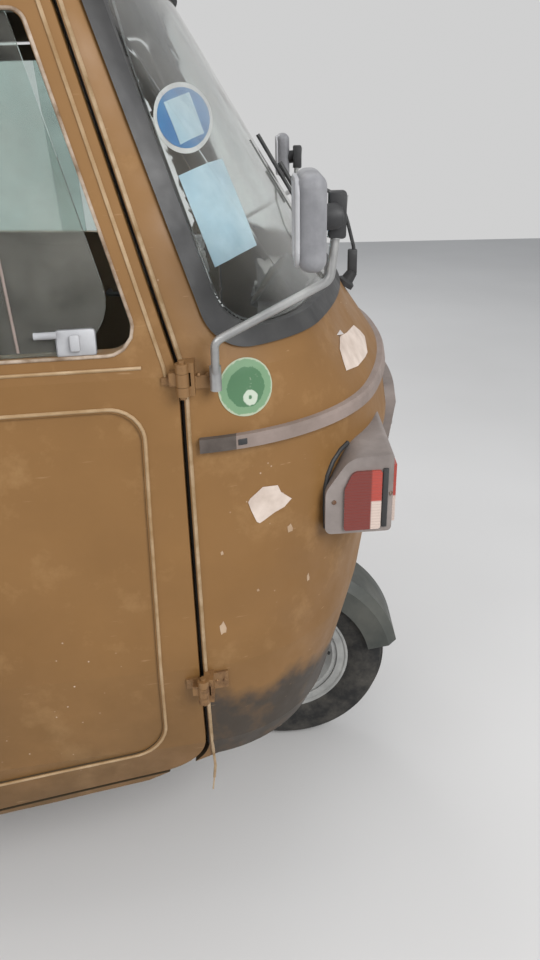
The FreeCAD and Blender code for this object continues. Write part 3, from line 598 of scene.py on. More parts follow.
LAMP_GLASS = clear_glass("fluted_lamp_glass", (0.95, 0.96, 0.96), 0.12, 0.12)
GREY_PLASTIC = plain("weathered_grey_plastic", (0.175, 0.148, 0.135), (0.265, 0.228, 0.21), 18, 0.66)
TRIM = plain("grey_trim_plastic", (0.19, 0.146, 0.124), (0.275, 0.215, 0.188), 14, 0.6)
BLACK_PLASTIC = plain("matt_black_plastic", (0.014, 0.014, 0.015), (0.035, 0.035, 0.036), 30, 0.6)
CONTROL_GREY = plain("grey_control_plastic", (0.16, 0.16, 0.17), (0.27, 0.27, 0.28), 26, 0.5)
RED_LENS = lamp_lens()
LENS_LOOK = {"scale": 20, "rough": 0.24, "Coat_Weight": 0.4}
TAIL_RED = plain("tail_lamp_red", (0.3, 0.018, 0.012), (0.42, 0.035, 0.022), **LENS_LOOK)
WHITE_LENS = plain("clear_lamp_lens", (0.52, 0.5, 0.47), (0.66, 0.64, 0.6), **LENS_LOOK)
AMBER = plain("amber_lens", (0.55, 0.2, 0.02), (0.68, 0.28, 0.04), **LENS_LOOK)
MIRROR_GLASS = mirror_glass()
VINYL = seat_vinyl()
FLUTED_GLASS = fluted_glass()
REFLECTOR = plain("headlamp_reflector", (0.55, 0.55, 0.54), (0.72, 0.72, 0.71), 8, 0.22, 0.9, 0.01)
MIRROR_GREY = plain("light_grey_mirror_rim", (0.3, 0.3, 0.31), (0.44, 0.44, 0.45), 20, 0.5)
PALE_MARKS = plain("pale_dial_marks", (0.55, 0.55, 0.52), (0.7, 0.7, 0.67), 60, 0.5)
GUARD_PAINT = plain("dark_mudguard_paint", (0.03, 0.036, 0.032), (0.085, 0.086, 0.074), 10, 0.55)
ALLOY = plain("oily_cast_alloy", (0.075, 0.07, 0.062), (0.33, 0.32, 0.3), 11, 0.5, metallic=0.6)
FLANGE_EDGE = plain("worn_flange_enamel", (0.23, 0.14, 0.058), (0.44, 0.32, 0.2), 46, 0.5)
# A lighter tan on the beads and ridges: a painted highlight along their crests.
BEAD_HIGHLIGHT = plain("bead_painted_highlight", (0.27, 0.16, 0.066), (0.43, 0.305, 0.18), 30, 0.5)
CHIPPED = worn_paper("chipped_primer", (0.33, 0.215, 0.125), (0.48, 0.35, 0.24))
BRIGHT = plain("worn_flange_edge", (0.16, 0.1, 0.055), (0.52, 0.42, 0.33), 46, 0.5)
GREEN_STICKER = ringed_sticker(
    "green_ringed_sticker", GREEN_AT, [(0.36, 0.41, 0.29), (0.155, 0.27, 0.15), (0.062, 0.155, 0.072)],
    [0.0345, 0.0255], mm(7, -4, -13))
BLUE = worn_paper("blue_print", (0.02, 0.13, 0.33), (0.045, 0.2, 0.43))
PAPER = worn_paper("white_paper", (0.52, 0.49, 0.48), (0.7, 0.67, 0.66))
PALE_BLUE = worn_paper("pale_blue_card", (0.36, 0.5, 0.6), (0.5, 0.64, 0.72))
TORN = worn_paper("torn_white_film", (0.46, 0.37, 0.31), (0.66, 0.56, 0.49))

# The slot that goes with each finish
SLOT_FINISHES = {
    "paint": (ENAMEL, BRIGHT, BEAD_HIGHLIGHT), "zinc": (ZINC, RUST, HINGE_STEEL), "chassis_black": (CHASSIS,),
    "black_rubber": (RUBBER,), "black_plastic": (BLACK_PLASTIC,), "grey_plastic": (CONTROL_GREY, MIRROR_GREY),
    "trim_grey": (TRIM, PALE_MARKS), "red_lens": (TAIL_RED, WHITE_LENS, AMBER), "tyre": (TYRE,),
    "rim_paint": (RIM,), "rusty_steel": (FLANGE_EDGE,), "lamp_glass": (FLUTED_GLASS,), "glass": (GLASS,),
    "seat_vinyl": (VINYL,), "engine_alloy": (ALLOY,),
}
SLOT_OF = {finish.name: slot for slot, finishes in SLOT_FINISHES.items() for finish in finishes}

# The finish of each node whose name holds the word; the first that fits is taken
NODE_FINISHES = [
    ("tyre", TYRE), ("wheel_rim", RIM), ("gasket", RUBBER), ("rear_window", GLASS), ("panes_", PANE_GLASS),
    ("windscreen", GLASS), ("end_caps", GREY_RUBBER), ("trim_strip", TRIM), ("lamp_housings", GREY_PLASTIC),
    ("lamp_lenses", RED_LENS), ("tail_lamps", TAIL_RED), ("headlamp_bezel", GREY_PLASTIC),
    ("headlamp_lens", LAMP_GLASS), ("dashboard", BLACK_PLASTIC), ("mirror_arm", ZINC),
    ("mirror_head", CONTROL_GREY), ("hinge", HINGE_STEEL), ("door_handle", ZINC), ("seat_base", ENAMEL),
    ("seat_", VINYL), ("mudguard", GUARD_PAINT), ("fork", CHASSIS), ("handlebar", ZINC), ("chassis", CHASSIS),
    ("rear_arms", CHASSIS), ("dampers", ZINC), ("engine", ALLOY), ("half_shafts", RUST), ("exhaust", RUST),
    ("", ENAMEL),
]


def dress_nodes():
    for name, node in NODES.items():
        finish = next(material for key, material in NODE_FINISHES if key in name)
        if not node.material_slots:
            node.data.materials.append(finish)
        for slot in node.material_slots:
            slot.material = finish


# Wheels

WHEELS = (("front_wheel", -1, 49), ("rear_right_wheel", -1, 52), ("rear_left_wheel", 1, 52))
NOTCHES = 54

# A tyre's notched shoulders: their reach to the side of its middle, and from its axle outwards, in metres
SHOULDER = (0.024, 0.046)
SHOULDER_RADIUS = 0.2


def wheel_middle(name):
    low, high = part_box(name + "_tyre")
    return (Vector(low) + Vector(high)) / 2


def make_tyre(name, outward):
    """A bias-ply tyre: sidewalls, three ribs with grooves between them, and notched shoulders."""
    centre = wheel_middle(name)
    half = [(30, 134), (37, 130), (46, 146), (49.5, 166), (48, 188), (43, 203), (36, 209.5), (23, 212.5),
            (21.5, 206), (17.5, 206), (16, 213.5), (3.5, 214.8), (2, 208)]
    profile = [(-a, r) for a, r in half] + [(a, r) for a, r in reversed(half)] + [(-30, 134)]
    piece = turned(profile, centre, (0, outward, 0), steps=2 * NOTCHES)
    edit()
    bpy.ops.mesh.select_all(action="DESELECT")
    leave()
    for face in piece.data.polygons:
        from_hub = face.center - centre
        turn = math.atan2(from_hub.z, from_hub.x) / math.tau * NOTCHES
        beside_ribs = SHOULDER[0] < abs(from_hub.y) < SHOULDER[1]
        outer = math.hypot(from_hub.x, from_hub.z) > SHOULDER_RADIUS
        face.select = beside_ribs and outer and turn % 1 < 0.5
    bpy.ops.object.mode_set(mode="EDIT")
    bpy.ops.mesh.inset(thickness=0.0012, depth=-0.0038)
    leave()
    done(piece, name + "_tread_tyre", TYRE, body=name)
    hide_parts(name + "_tyre")


def make_wheel_fittings(name, outward, cap_at):
    """Wheel nuts, a hub cap, a valve and the rolled edges of the rim."""
    centre = wheel_middle(name)
    out = Vector((0, outward, 0))
    profile = [(1, 0), (1, 10.5), (9, 10.5), (11, 8.5), (11, 6), (18, 5.5), (19, 0)]
    nuts = [turned(profile, centre + mm(0, 0, 58), out, steps=6)]
    nuts += [swung(copied(nuts[0]), math.tau * i / 4, centre) for i in (1, 2, 3)]
    done(nuts, name + "_nuts", ZINC, body=name)
    profile = [(28, 33.5), (37, 33.5), (40, 29), (40.5, 24), (47.5, 22.5), (cap_at, 18), (cap_at + 2, 0)]
    done(turned(profile, centre, out, 32), name + "_hub_cap", ZINC, body=name)
    valve = wire([centre + mm(100, outward * 12, 0), centre + mm(94, outward * 30, 0)], 3)
    done(valve, name + "_valve", RUBBER, body=name)
    edge = [(34.5, 129), (37.5, 134.5), (39.7, 134.5), (39.7, 130), (37.5, 127), (34.5, 129)]
    edges = [turned([(side * along, radius) for along, radius in edge], centre, out, 64) for side in (1, -1)]
    done(edges, name + "_rim_edges", RIM, body=name)


def make_wheels():
    for name, outward, cap_at in WHEELS:
        make_tyre(name, outward)
        make_wheel_fittings(name, outward, cap_at)


# Nose

def pillar_x(z):
    return HINGE_LINE - max(0, z - BELT) * PILLAR_LEAN


def make_door_gap():
    """The bare flange along the nose's rear edge, torn loose at its foot, and the door's black rubber seal,
    which also stands in for the shade in the gap.
    """
    heights = [364, 380, 420, 480, 560, 640, 720, 800, 880, 950, 1000, 1060, 1130, 1200, 1280, 1350, 1412]
    edge = [beside("cab_nose", pillar_x(z) + 2.5, z, 0.4) for z in heights]
    tail = [edge[0], edge[0] + mm(1, 4, -30), edge[0] + mm(-2, 6, -58)]
    loose = [wire(tail, 2.3, sides=1), wire([tail[2], tail[2] + mm(-3, -2, -24)], 1.2)]
    flange = joined([wire(edge, 2.6, sides=1)] + loose)
    # A black seal in the door gap, partly a seal and partly painted shade for the dark gap.
    seal = wire([point + mm(-5, 13, 0) for point in edge[1:]], 4, sides=2)
    done_both([flange], "nose_edge_flanges", FLANGE_EDGE)
    done_both([seal], "door_gap_shade_seals", RUBBER)


def screw(place, normal, radius=3.4):
    """A low round head."""
    profile = [(-1, 0), (-1, radius), (0.6, radius), (1.6, radius / 1.4), (1.9, 0)]
    return turned(profile, place, normal, steps=12)


def make_hinge_screws():
    heads = []
    for z in HINGE_HEIGHTS:
        for x in (HINGE_LINE + 17, HINGE_LINE + 28):
            place = beside("cab_nose", x, z, 4.0)
            heads.append(screw(place, struck("cab_nose", place - mm(0, 200, 0), (0, 1, 0))[1], 2.6))
    done_both(heads, "hinge_plate_screws", HINGE_STEEL)


def make_stickers():
    """The stickers on the nose: a green ringed one and two torn white ones, all without words."""
    facing = struck("cab_nose", GREEN_AT - mm(0, 300, 0), (0, 1, 0))[1]
    done(film(GREEN_AT, facing, round_points(37, 37, 40), "cab_nose"), "green_ringed_sticker", GREEN_STICKER)
    sticker = [(-22, 15), (-12, 21), (-2, 32), (8, 24), (15, 16), (20, -8), (17, -15), (6, -29), (-11, -36),
               (-17, -19), (-22, -3)]
    patch = [(-28, 3), (-25, 8), (-8, 23), (12, 25), (16, 16), (30, 7), (20, -4), (7, -11), (-13, -25),
             (-17, -23), (-24, -8)]
    for name, centre, outline in (("torn_white_sticker", (1.1213, -0.2488, 0.9585), sticker),
                                  ("torn_film_patch", (0.9882, -0.4752, 0.8108), patch)):
        done(film_seen(centre, outline, "cab_nose"), name, TORN)


def make_paint_chips():
    """Chips and rubbed spots where the nose has lost its enamel."""
    spots = [
        # place, half width, half height
        ((0.9196, -0.4945, 0.6257), 5, 9), ((0.9239, -0.4975, 0.7499), 2, 3),
        ((1.0428, -0.4307, 0.6667), 2, 6), ((1.0164, -0.4567, 0.7634), 4, 6),
        ((0.9702, -0.4778, 0.6770), 2, 2),
    ]
    ragged = (1.0, 0.8, 1.1, 0.7, 1.0, 0.9, 1.2, 0.75, 1.05)
    chips = []
    for centre, wide, high in spots:
        oval = round_points(wide, high, len(ragged))
        edge = [(u * reach, v * reach) for reach, (u, v) in zip(ragged, oval)]
        chips.append(film_seen(centre, edge, "cab_nose", 0.25, 0.1))
    done(chips, "paint_chips", CHIPPED)


def make_strip_slot():
    """A black patch at the rear end of the trim strip: painted shade where the strip's dark slot is."""
    # Painted shade: a black slab in place of the slot's dark hole.
    slot = set_on(slab(mm(-6, -1, -4), mm(6, 1, 4), 0.8), *right_side("trim_strip", 757, 911))
    done_both([slot], "strip_end_slot_shades", BLACK_PLASTIC)


def make_corner_lamp_trim():
    """Round each corner lamp: a rubber seat behind it, a dark joint beside its lens, and its screws."""
    rear = [(900, 858), (888, 853), (877, 842), (869, 825), (866, 808), (866, 775), (867, 742), (885, 739),
            (905, 739)]
    seat = wire([beside("cab_nose", x, z, 1.0) for x, z in rear], 3.5)
    joint = slab(at(945.5, -434.5, 750), at(953, -431, 840), 0.8)
    heads = [screw(*right_side("corner_lamp_housings", x, z)) for x, z in ((878, 792), (957.5, 800))]
    done_both([seat], "corner_lamp_seats", RUBBER)
    done_both([joint], "corner_lamp_joints", RUBBER)
    done_both(heads, "corner_lamp_screws", RUST)


def make_headlamp():
    """Fluted glass in front of a bright reflector with its bulb shield."""
    outline = rounded([(-97, -52, 16), (97, -52, 16), (97, 52, 16), (-97, 52, 16)])
    centre, ahead = at(1003, 0, 779), (1, 0, 0)
    glass = film(centre, ahead, outline, "cab_nose", lift=11, thick=2.4)
    done(glass, "headlamp_fluted_glass", FLUTED_GLASS)
    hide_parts("headlamp_lens")
    done(film(centre, ahead, outline, "cab_nose", lift=1.2, thick=0.8), "headlamp_reflector", REFLECTOR)
    shield = turned([(0, 0), (0, 17), (4, 16), (6.5, 9), (7, 0)], centre, ahead, 32)
    done(shield, "headlamp_bulb_shield", REFLECTOR)
    places = ((-105, 779), (105, 779), (0, 719), (0, 839))
    heads = [screw(*struck("headlamp_bezel", at(1200, y, z), (-1, 0, 0))) for y, z in places]
    done(heads, "headlamp_screws", ZINC)


def make_wiper():
    """One wiper on a spindle in the cowl, its arm standing off the glass."""
    boss = [(-4, 0), (-4, 16), (4, 16), (8, 11), (24, 9), (26, 0)]
    done(turned(boss, at(930, 0, 1004), (0.55, 0, 0.83), 24), "wiper_spindle", BLACK_PLASTIC)
    tip = at(864, 0, 1176)
    arm = wire([at(939, 0, 1016), at(946, 0, 1058), at(930, 0, 1116), at(915, 0, 1150), tip], 3.2, 12)
    sleeve = slab(at(934, -6, 1020), at(950, 6, 1062))
    done([arm, sleeve], "wiper_arm", BLACK_PLASTIC)
    rests = [struck("windscreen", at(1400, 0, z), (-1, 0, 0))[0] for z in (1100, 1150, 1200, 1245)]
    away = mm(10, 0, 3)
    blade = wire([point + away for point in rests], 3.4)
    carrier = wire([point + away * 1.8 for point in rests[1:3]], 4.2)
    foot = wire([tip, rests[1].lerp(rests[2], 0.5) + away * 1.8], 3)
    done([blade, carrier, foot], "wiper_blade", RUBBER)


def make_grille():
    """Dark wire mesh behind the horn slots."""
    place, _ = struck("cab_nose", at(700, 0, 644), (1, 0, 0))
    wires = [slab(place + mm(-3, y, -20), place + mm(-1, y + 3, 50), 0.5, 1) for y in range(-77, 78, 14)]
    done(wires, "horn_grille_mesh", BLACK_PLASTIC)


def make_mirror_faces():
    """Mirror glass in a raised rim on each head, and the black ball joints."""
    outline = rounded([(-624, 1147, 12), (-536, 1147, 12), (-536, 1225, 12), (-624, 1225, 12)])
    rim = loop([at(821.5, y, z) for y, z in outline], 2.8)
    glass = plate([at(822.5, y, z) for y, z in outline], mm(-1.8, 0, 0))
    ball = turned([(-20, 0), (-20, 10), (-12, 13.5), (4, 13.5), (10, 10), (12, 0)], at(862, -545, 1184),
                  (1, 0, 0.1), 24)
    clamp = slab(at(858, -540, 1160), at(877, -520, 1208), 3)
    done_both([rim], "mirror_rims", MIRROR_GREY)
    done_both([glass], "mirror_glasses", MIRROR_GLASS)
    done_both([ball, clamp], "mirror_joints", BLACK_PLASTIC)


def make_screen_papers():
    """What is stuck or lies behind the windscreen: a blue ringed sticker, a pale card and a white sheet."""
    label = [(-23, 17), (9, 28), (24, -17), (-7, -30)]
    card = [(-44, 42), (11, 61), (48, -39), (-6, -64)]
    for name, centre, outline, finish, lift in (
            ("blue_sticker_rim", BLUE_AT, round_points(36.5, 39.5, 40), PAPER, 2.4),
            ("blue_sticker_disc", BLUE_AT, round_points(32.5, 33.8, 40), BLUE, 1.6),
            ("blue_sticker_label", BLUE_AT, label, PALE_BLUE, 0.8),
            ("pale_blue_card", CARD_AT, card, PALE_BLUE, 0.8)):
        done(film_seen(centre, outline, "windscreen", lift, behind=14), name, finish)
    corners = [(822, -63, 987), (866, 62, 989), (908, 186, 996), (884, 300, 994), (852, 372, 989),
               (779, 395, 987), (796, 180, 988)]
    done(plate([at(*corner) for corner in corners], mm(0, 0, 0.6)), "white_sheet_on_dashboard", PAPER)


# Doors

# Corners on the right door's side, ahead and up, with their radii
WINDOW = [(32, 1030, 34), (641, 1030, 30), (536, 1386, 16), (32, 1386, 34)]
PRESS = [(40, 330, 40), (620, 400, 60), (635, 960, 40), (40, 960, 40)]
RAIL_HEIGHT = 1012
LOCK_HEIGHT = 965


def grown(corners, by):
    """The same outline, its corners moved out by a distance along each axis."""
    u = sum(corner[0] for corner in corners) / len(corners)
    v = sum(corner[1] for corner in corners) / len(corners)
    return [(a + math.copysign(by, a - u), b + math.copysign(by, b - v), r + by * 0.5) for a, b, r in corners]


def make_door_trim():
    """A worn edge round the window, a bead round the pressed panel, the frame's ridge, a lock and a pull."""
    edge = loop([beside("door_right", x, z, 0.2) for x, z in stepped(rounded(grown(WINDOW, 2)))], 2.2)
    bead = loop([beside("door_right", x, z, 0.1) for x, z in stepped(rounded(grown(PRESS, 4), 8))], 2.4)
    heights = [990, RAIL_HEIGHT, 1060, 1120, 1180, 1240, 1300, 1360, 1400]
    ridge = wire([beside("door_right", pillar_x(z) - 20, z, 0.2) for z in heights], 2.4, sides=1)
    spots = (10, 150, 300, 450, 560, 640)
    rail = wire([beside("door_right", x, RAIL_HEIGHT, 0.2) for x in spots], 2.2, sides=1)
    place, normal = right_side("door_right", 160, LOCK_HEIGHT)
    lock = turned([(0, 0), (0, 12), (3, 11.5), (4.5, 6), (3.5, 0)], place, normal, 24)
    face = place + normal * 0.0035
    slot = slab(face + mm(-0.9, -1, -4), face + mm(0.9, 1, 4), 0.3)
    rosette = turned([(0, 0), (0, 18), (2.5, 16.5), (3, 0)], *right_side("door_right", 119, LOCK_HEIGHT), 28)
    pull = wire([at(420, -478, 900), at(420, -440, 900), at(540, -436, 900), at(540, -474, 900)], 6, 14)
    done_on_doors(edge, "window_edge", BRIGHT)
    # The panel bead and the frame's ridge carry the painted highlight.
    done_on_doors(bead, "panel_bead", BEAD_HIGHLIGHT)
    done_on_doors(joined([ridge, rail]), "frame_ridge", BEAD_HIGHLIGHT)
    done_on_doors(joined([lock, rosette]), "lock", ZINC)
    done_on_doors(slot, "lock_slot", BLACK_PLASTIC)
    done_on_doors(pull, "inside_pull", BLACK_PLASTIC)


def make_pane_trim():
    """Edge strips and finger latches of the sliding panes."""
    low, lean = 1036, 0.11
    heights = (low, 1120, 1200, 1290, 1380)
    strip = wire([beside("door_panes_right", 501 - (z - low) * lean, z, 0.4) for z in heights], 1.8, sides=1)
    body = slab(mm(-12, -5, -22), mm(34, 0, 10), 4)
    thumb = slab(mm(4, -13, -16), mm(16, -4, 4), 3)
    bar = turned([(-30, 0), (-30, 4.2), (-4, 4.2), (-4, 0)], mm(-6, -6, 4), (1, 0, 0), 16)
    latch = set_on(joined([body, thumb, bar]), *right_side("door_panes_right", 556, 1050))
    done_on_doors(strip, "pane_edge", TRIM)
    done_on_doors(latch, "pane_latch", MIRROR_GREY)


# Inside the cab

def bar_place(share, side):
    """A place along the outer run of the handlebar, from its bend to its end."""
    x0, y0, z0 = BAR_BEND
    x1, y1, z1 = BAR_END
    return at(x0 + (x1 - x0) * share, side * (y0 + (y1 - y0) * share), z0 + (z1 - z0) * share)


def make_bar_controls():
    """Ribbed grips, switch blocks and curved levers."""
    grips, blocks, levers = [], [], []
    for side in (-1, 1):
        inner, outer = bar_place(0.46, side), bar_place(1.02, side)
        axis = outer - inner
        profile = [(0, 0), (0, 17.5), (4, 18.5)]
        for i in range(9):
            start = 8 + i * 9.5
            profile += [(start, 16.5), (start + 1.2, 15), (start + 4.5, 15), (start + 5.7, 16.5)]
        profile += [(axis.length * 1000, 17), (axis.length * 1000 + 2, 0)]
        grips.append(turned(profile, inner, axis, steps=28))
        middle = bar_place(0.30, side)
        blocks.append(slab(middle + mm(-22, -19, -20), middle + mm(22, 19, 24), 7, 3))
        blocks.append(slab(middle + mm(-27, -8, 2), middle + mm(-20, 8, 14)))
        start = middle + mm(18, 0, -4)
        bends = [mm(0, 0, 0), mm(30, side * 20, 0), mm(22, side * 75, -2), mm(4, side * 125, -6)]
        levers.append(wire([start + bend for bend in bends], 4.8, 20))
    done(grips, "handlebar_grips", RUBBER, body="steering")
    done(blocks, "handlebar_switch_blocks", CONTROL_GREY, body="steering")
    done(levers, "handlebar_levers", BLACK_PLASTIC, body="steering")


def number_at(text, place):
    """A small raised number, its middle at a place."""
    nothing_selected()
    bpy.ops.object.text_add()
    number = bpy.context.object
    number.data.body = text
    number.data.size = 0.0085
    number.data.align_x = "CENTER"
    number.data.align_y = "CENTER"
    number.data.extrude = 0.0002
    bpy.ops.object.convert(target="MESH")
    number.data.transform(Matrix.Translation(place))
    return number


def make_dial():
    """A round speed dial with plain numbers in a pod on the dash."""
    centre, facing = at(800, 0, 1010), Vector((-0.80, 0, 0.60))
    pod = [(-50, 0), (-50, 40), (-10, 52), (6, 54), (8, 50), (2, 47), (0, 0)]
    done(turned(pod, centre, facing), "dial_pod", BLACK_PLASTIC)
    face = [(1.2, 0), (1.2, 46.5), (1.6, 46.5), (1.8, 0)]
    done(turned(face, centre, facing), "dial_face", BLACK_PLASTIC)
    across_way = Vector((0, -1, 0))
    up = facing.cross(across_way) * -1
    turn = Matrix((across_way, up, facing)).transposed().to_4x4()
    marks = []
    for i in range(9):
        angle = math.radians(220 - i * 32.5)
        out = Vector((math.cos(angle), math.sin(angle), 0))
        tick = slab(mm(-0.6, 38, 1.9), mm(0.6, 44, 2.4), 0.1, 1)
        tick.data.transform(Matrix.Rotation(angle - math.pi / 2, 4, "Z"))
        marks += [tick, number_at(str(10 * i), out * 0.031 + mm(0, 0, 2.2))]
    needle = slab(mm(-0.9, -8, 3), mm(0.9, 34, 3.6), 0.3, 1)
    needle.data.transform(Matrix.Rotation(math.radians(130), 4, "Z"))
    for piece in marks + [needle]:
        piece.data.transform(Matrix.Translation(centre) @ turn)
    done(marks, "dial_numbers", PALE_MARKS)
    done(needle, "dial_needle", AMBER, slot=None)
    cover = [(5.5, 0), (5.5, 48), (6.8, 48), (7.2, 0)]
    done(turned(cover, centre, facing), "dial_cover", GLASS)


def make_dash():
    """Rocker switches and a key switch on the dash, and what lies on it."""
    rockers, frames = [], []
    for y in (-230, -195, -160, 160):
        frames.append(slab(at(770, y - 12, 948), at(776.4, y + 12, 972), 1.5))
        rocker = slab(at(765, y - 8, 951), at(771, y + 8, 969))
        rockers.append(swung(rocker, math.radians(9), at(771, y, 960)))
    key = turned([(0, 0), (0, 12), (6, 11.5), (7, 5), (7, 0)], at(776, 210, 960), (-1, 0, 0), 24)
    done(frames, "switch_frames", BLACK_PLASTIC)
    done(rockers, "rocker_switches", CONTROL_GREY)
    done(key, "key_switch", ZINC)
    corners = [at(x, y, 986.5) for x, y in ((792, -330), (900, -300), (878, -120), (795, -150))]
    sheet = swung(plate(corners, mm(0, 0, 0.6)), math.radians(-3), corners[0])
    done(sheet, "white_sheet_on_dash", PAPER)


def make_floor_mat():
    """A ribbed mat on the cab's sloping floor."""
    rear, front, half = 372, 556, 400
    low, high = [on_cab_floor(x, 0).z * 1000 + 1.2 for x in (rear, front)]
    mat = plate([at(rear, -half, low), at(front, -half, high), at(front, half, high), at(rear, half, low)],
                mm(0, 0, 4), 1.2)
    slope = math.atan((high - low) / (front - rear))
    ribs = [mat]
    for i in range(30):
        y = -390 + i * 26.5
        rib = slab(at(rear + 8, y, low + 3), at(front - 8, y + 10, low + 6.5), 1, 1)
        ribs.append(swung(rib, -slope, at(rear, 0, low)))
    done(ribs, "floor_mat", RUBBER)


def make_floor_controls():
    """The brake pedal and the handbrake."""
    base = on_cab_floor(530, -260)
    arm = wire([base + mm(0, 0, -2), base + mm(-4, 0, 70), base + mm(-40, 0, 105)], 7, 20)
    pad = slab(base + mm(-62, -32, 96), base + mm(-22, 32, 108), 3)
    done(arm, "brake_pedal_arm", CHASSIS)
    done(swung(pad, math.radians(30), base + mm(-40, 0, 102)), "brake_pedal_pad", RUBBER)
    foot = on_cab_floor(420, 300)
    bracket = slab(foot + mm(-45, -18, -1), foot + mm(45, 18, 20), 3)
    lever = wire([foot + mm(10, 0, 12), foot + mm(30, 0, 75), foot + mm(-40, 0, 265)], 7, 20)
    grip = wire([foot + mm(-6, 0, 172), foot + mm(-43, 0, 275)], 12.5)
    done([bracket, lever], "handbrake_lever", CHASSIS)
    done(grip, "handbrake_grip", RUBBER)


# How the pads swell and are sewn, and how far they may pass the seat's box, in metres
CLOTH_CELL, CLOTH_PRESSURE, CLOTH_FRAMES = 0.008, 4, 20
SEAM_DEPTH, SEAM_WIDTH = 0.007, 0.045
ABOVE_BOX, BESIDE_BOX = 0.006, 0.004


def swell(pad, cap):
    """Blow a pad up as cloth, no point of it further than the cap."""
    with_modifier(pad, "REMESH", mode="VOXEL", voxel_size=CLOTH_CELL)
    before = [vertex.co.copy() for vertex in pad.data.vertices]
    only(pad)
    cloth = pad.modifiers.new("Cloth", "CLOTH")
    cloth.settings.use_pressure = True
    cloth.settings.uniform_pressure_force = CLOTH_PRESSURE
    cloth.settings.effector_weights.gravity = 0
    for frame_number in range(1, CLOTH_FRAMES + 1):
        bpy.context.scene.frame_set(frame_number)
    bpy.ops.object.modifier_apply(modifier=cloth.name)
    bpy.context.scene.frame_set(1)
    for vertex, start in zip(pad.data.vertices, before):
        step = vertex.co - start
        if step.length > cap:
            vertex.co = start + step.normalized() * cap


def padded_seat(node, name, cap, channels):
    """A seat pad swollen by a cloth simulation, with sewn channels across its face."""
    low, high = (Vector(corner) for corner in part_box(node))
    pad = slab(low + mm(8, 10, 4), high - mm(8, 10, 8), 22, 3)
    swell(pad, cap)
    upright = high.z - low.z > high.x - low.x
    inwards = Vector((1, 0, 0) if upright else (0, 0, 1))
    for vertex in pad.data.vertices:
        share = (vertex.co.y - low.y) / (high.y - low.y) * channels
        sewn = 0.4 < share < channels - 0.4
        groove = max(0.0, 1 - abs(share - round(share)) / SEAM_WIDTH) if sewn else 0.0
        facing = (vertex.co - low).dot(inwards) / (high - low).dot(inwards)
        if facing > 0.55:
            vertex.co -= inwards * SEAM_DEPTH * groove
        vertex.co.x = min(max(vertex.co.x, low.x), high.x + ABOVE_BOX)
        vertex.co.z = min(max(vertex.co.z, low.z), high.z + ABOVE_BOX)
        vertex.co.y = min(max(vertex.co.y, low.y - BESIDE_BOX), high.y + BESIDE_BOX)
    with_modifier(pad, "SUBSURF", levels=1, render_levels=1)
    done(pad, name, VINYL, smooth=60)
    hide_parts(node)


def make_rear_window_rubber():
    outline = rounded([(-303, 1117, 52), (303, 1117, 52), (283, 1343, 52), (-283, 1343, 52)], 6)
    points = [struck("cab_back", at(-400, y, z), (1, 0, 0))[0] + mm(-0.5, 0, 0) for y, z in outline]
    done(loop(points, 6.5, 3), "rear_window_rubber", RUBBER)


def make_seats():
    padded_seat("seat_cushion", "seat_cushion_pad", cap=0.007, channels=6)
    padded_seat("seat_back", "seat_back_pad", cap=0.006, channels=6)


# Bed

def make_bed_floor():
    """Pressed ribs along the bed's floor and round-headed bolts over its bearers."""
    rows = [slab(at(REAR_END + 40, y - 14, BED_FLOOR - 1), at(BED_FRONT - 26, y + 14, BED_FLOOR + 4), 4)
            for y in range(-520, 521, 130)]
    heads = [screw(at(x, y, BED_FLOOR), mm(0, 0, 1), 6.5)
             for x in (-180, -563, -947, -1330) for y in (-455, -195, 195, 455)]
    done(rows, "bed_floor_ribs", ENAMEL)
    done(heads, "bed_floor_bolts", RUST)


def make_bed_rail():
    """Rope hooks under the bed's top rail and beads that stiffen its sides."""
    hooks = []
    wall = -(BED_HALF - 8)
    hook = [(-22, 0, 800), (-22, -24, 792), (-22, -26, 768), (22, -26, 768), (22, -24, 792), (22, 0, 800)]
    for x in (-300, -620, -940, -1260):
        hooks.append(wire([at(x + along, wall + out, z) for along, out, z in hook], 3.8, 8))
        hooks.append(slab(at(x - 32, wall - 5, 790), at(x + 32, wall, 810), 1.5))
    beads = [wire([at(x, wall + 2.5, z) for x in (BED_FRONT - 4, REAR_END + 26)], 6) for z in (680, 740)]
    done_both(hooks, "bed_rope_hooks", CHASSIS)
    done_both(beads, "bed_side_beads", ENAMEL)


def make_tailgate_fittings():
    """Latches that hold the tailgate to the bed's sides, and bolts through its hinge straps."""
    levers, catches = [], []
    x = REAR_END - 1
    for side in (-1, 1):
        low, high = sorted((side * (BED_HALF - 70), side * (BED_HALF - 20)))
        levers.append(slab(at(x - 6, low, 806), at(x, high, 830)))
        hub = side * (BED_HALF - 60)
        levers.append(turned([(0, 0), (0, 11), (10, 10), (12, 0)], at(x - 4, hub, 818), (-1, 0, 0), 20))
        levers.append(wire([at(x - 10, hub, 818), at(x - 13, side * (BED_HALF - 96), 776)], 4.5))
        low, high = sorted((side * (BED_HALF + 0.5), side * (BED_HALF + 6)))
        catches.append(slab(at(REAR_END + 30, low, 800), at(REAR_END + 66, high, 834)))
        stud = at(REAR_END + 48, side * (BED_HALF + 5), 817)
        catches.append(turned([(0, 0), (0, 7), (12, 6.5), (13, 0)], stud, (0, side, 0), 20))
    levers += [screw(at(REAR_END - 0.2, y, z), mm(-1, 0, 0), 5) for y in (-400, 0, 400) for z in (628, 652)]
    done(levers, "tailgate_latches", ZINC, body="tailgate")
    done(catches, "tailgate_catches", ZINC)


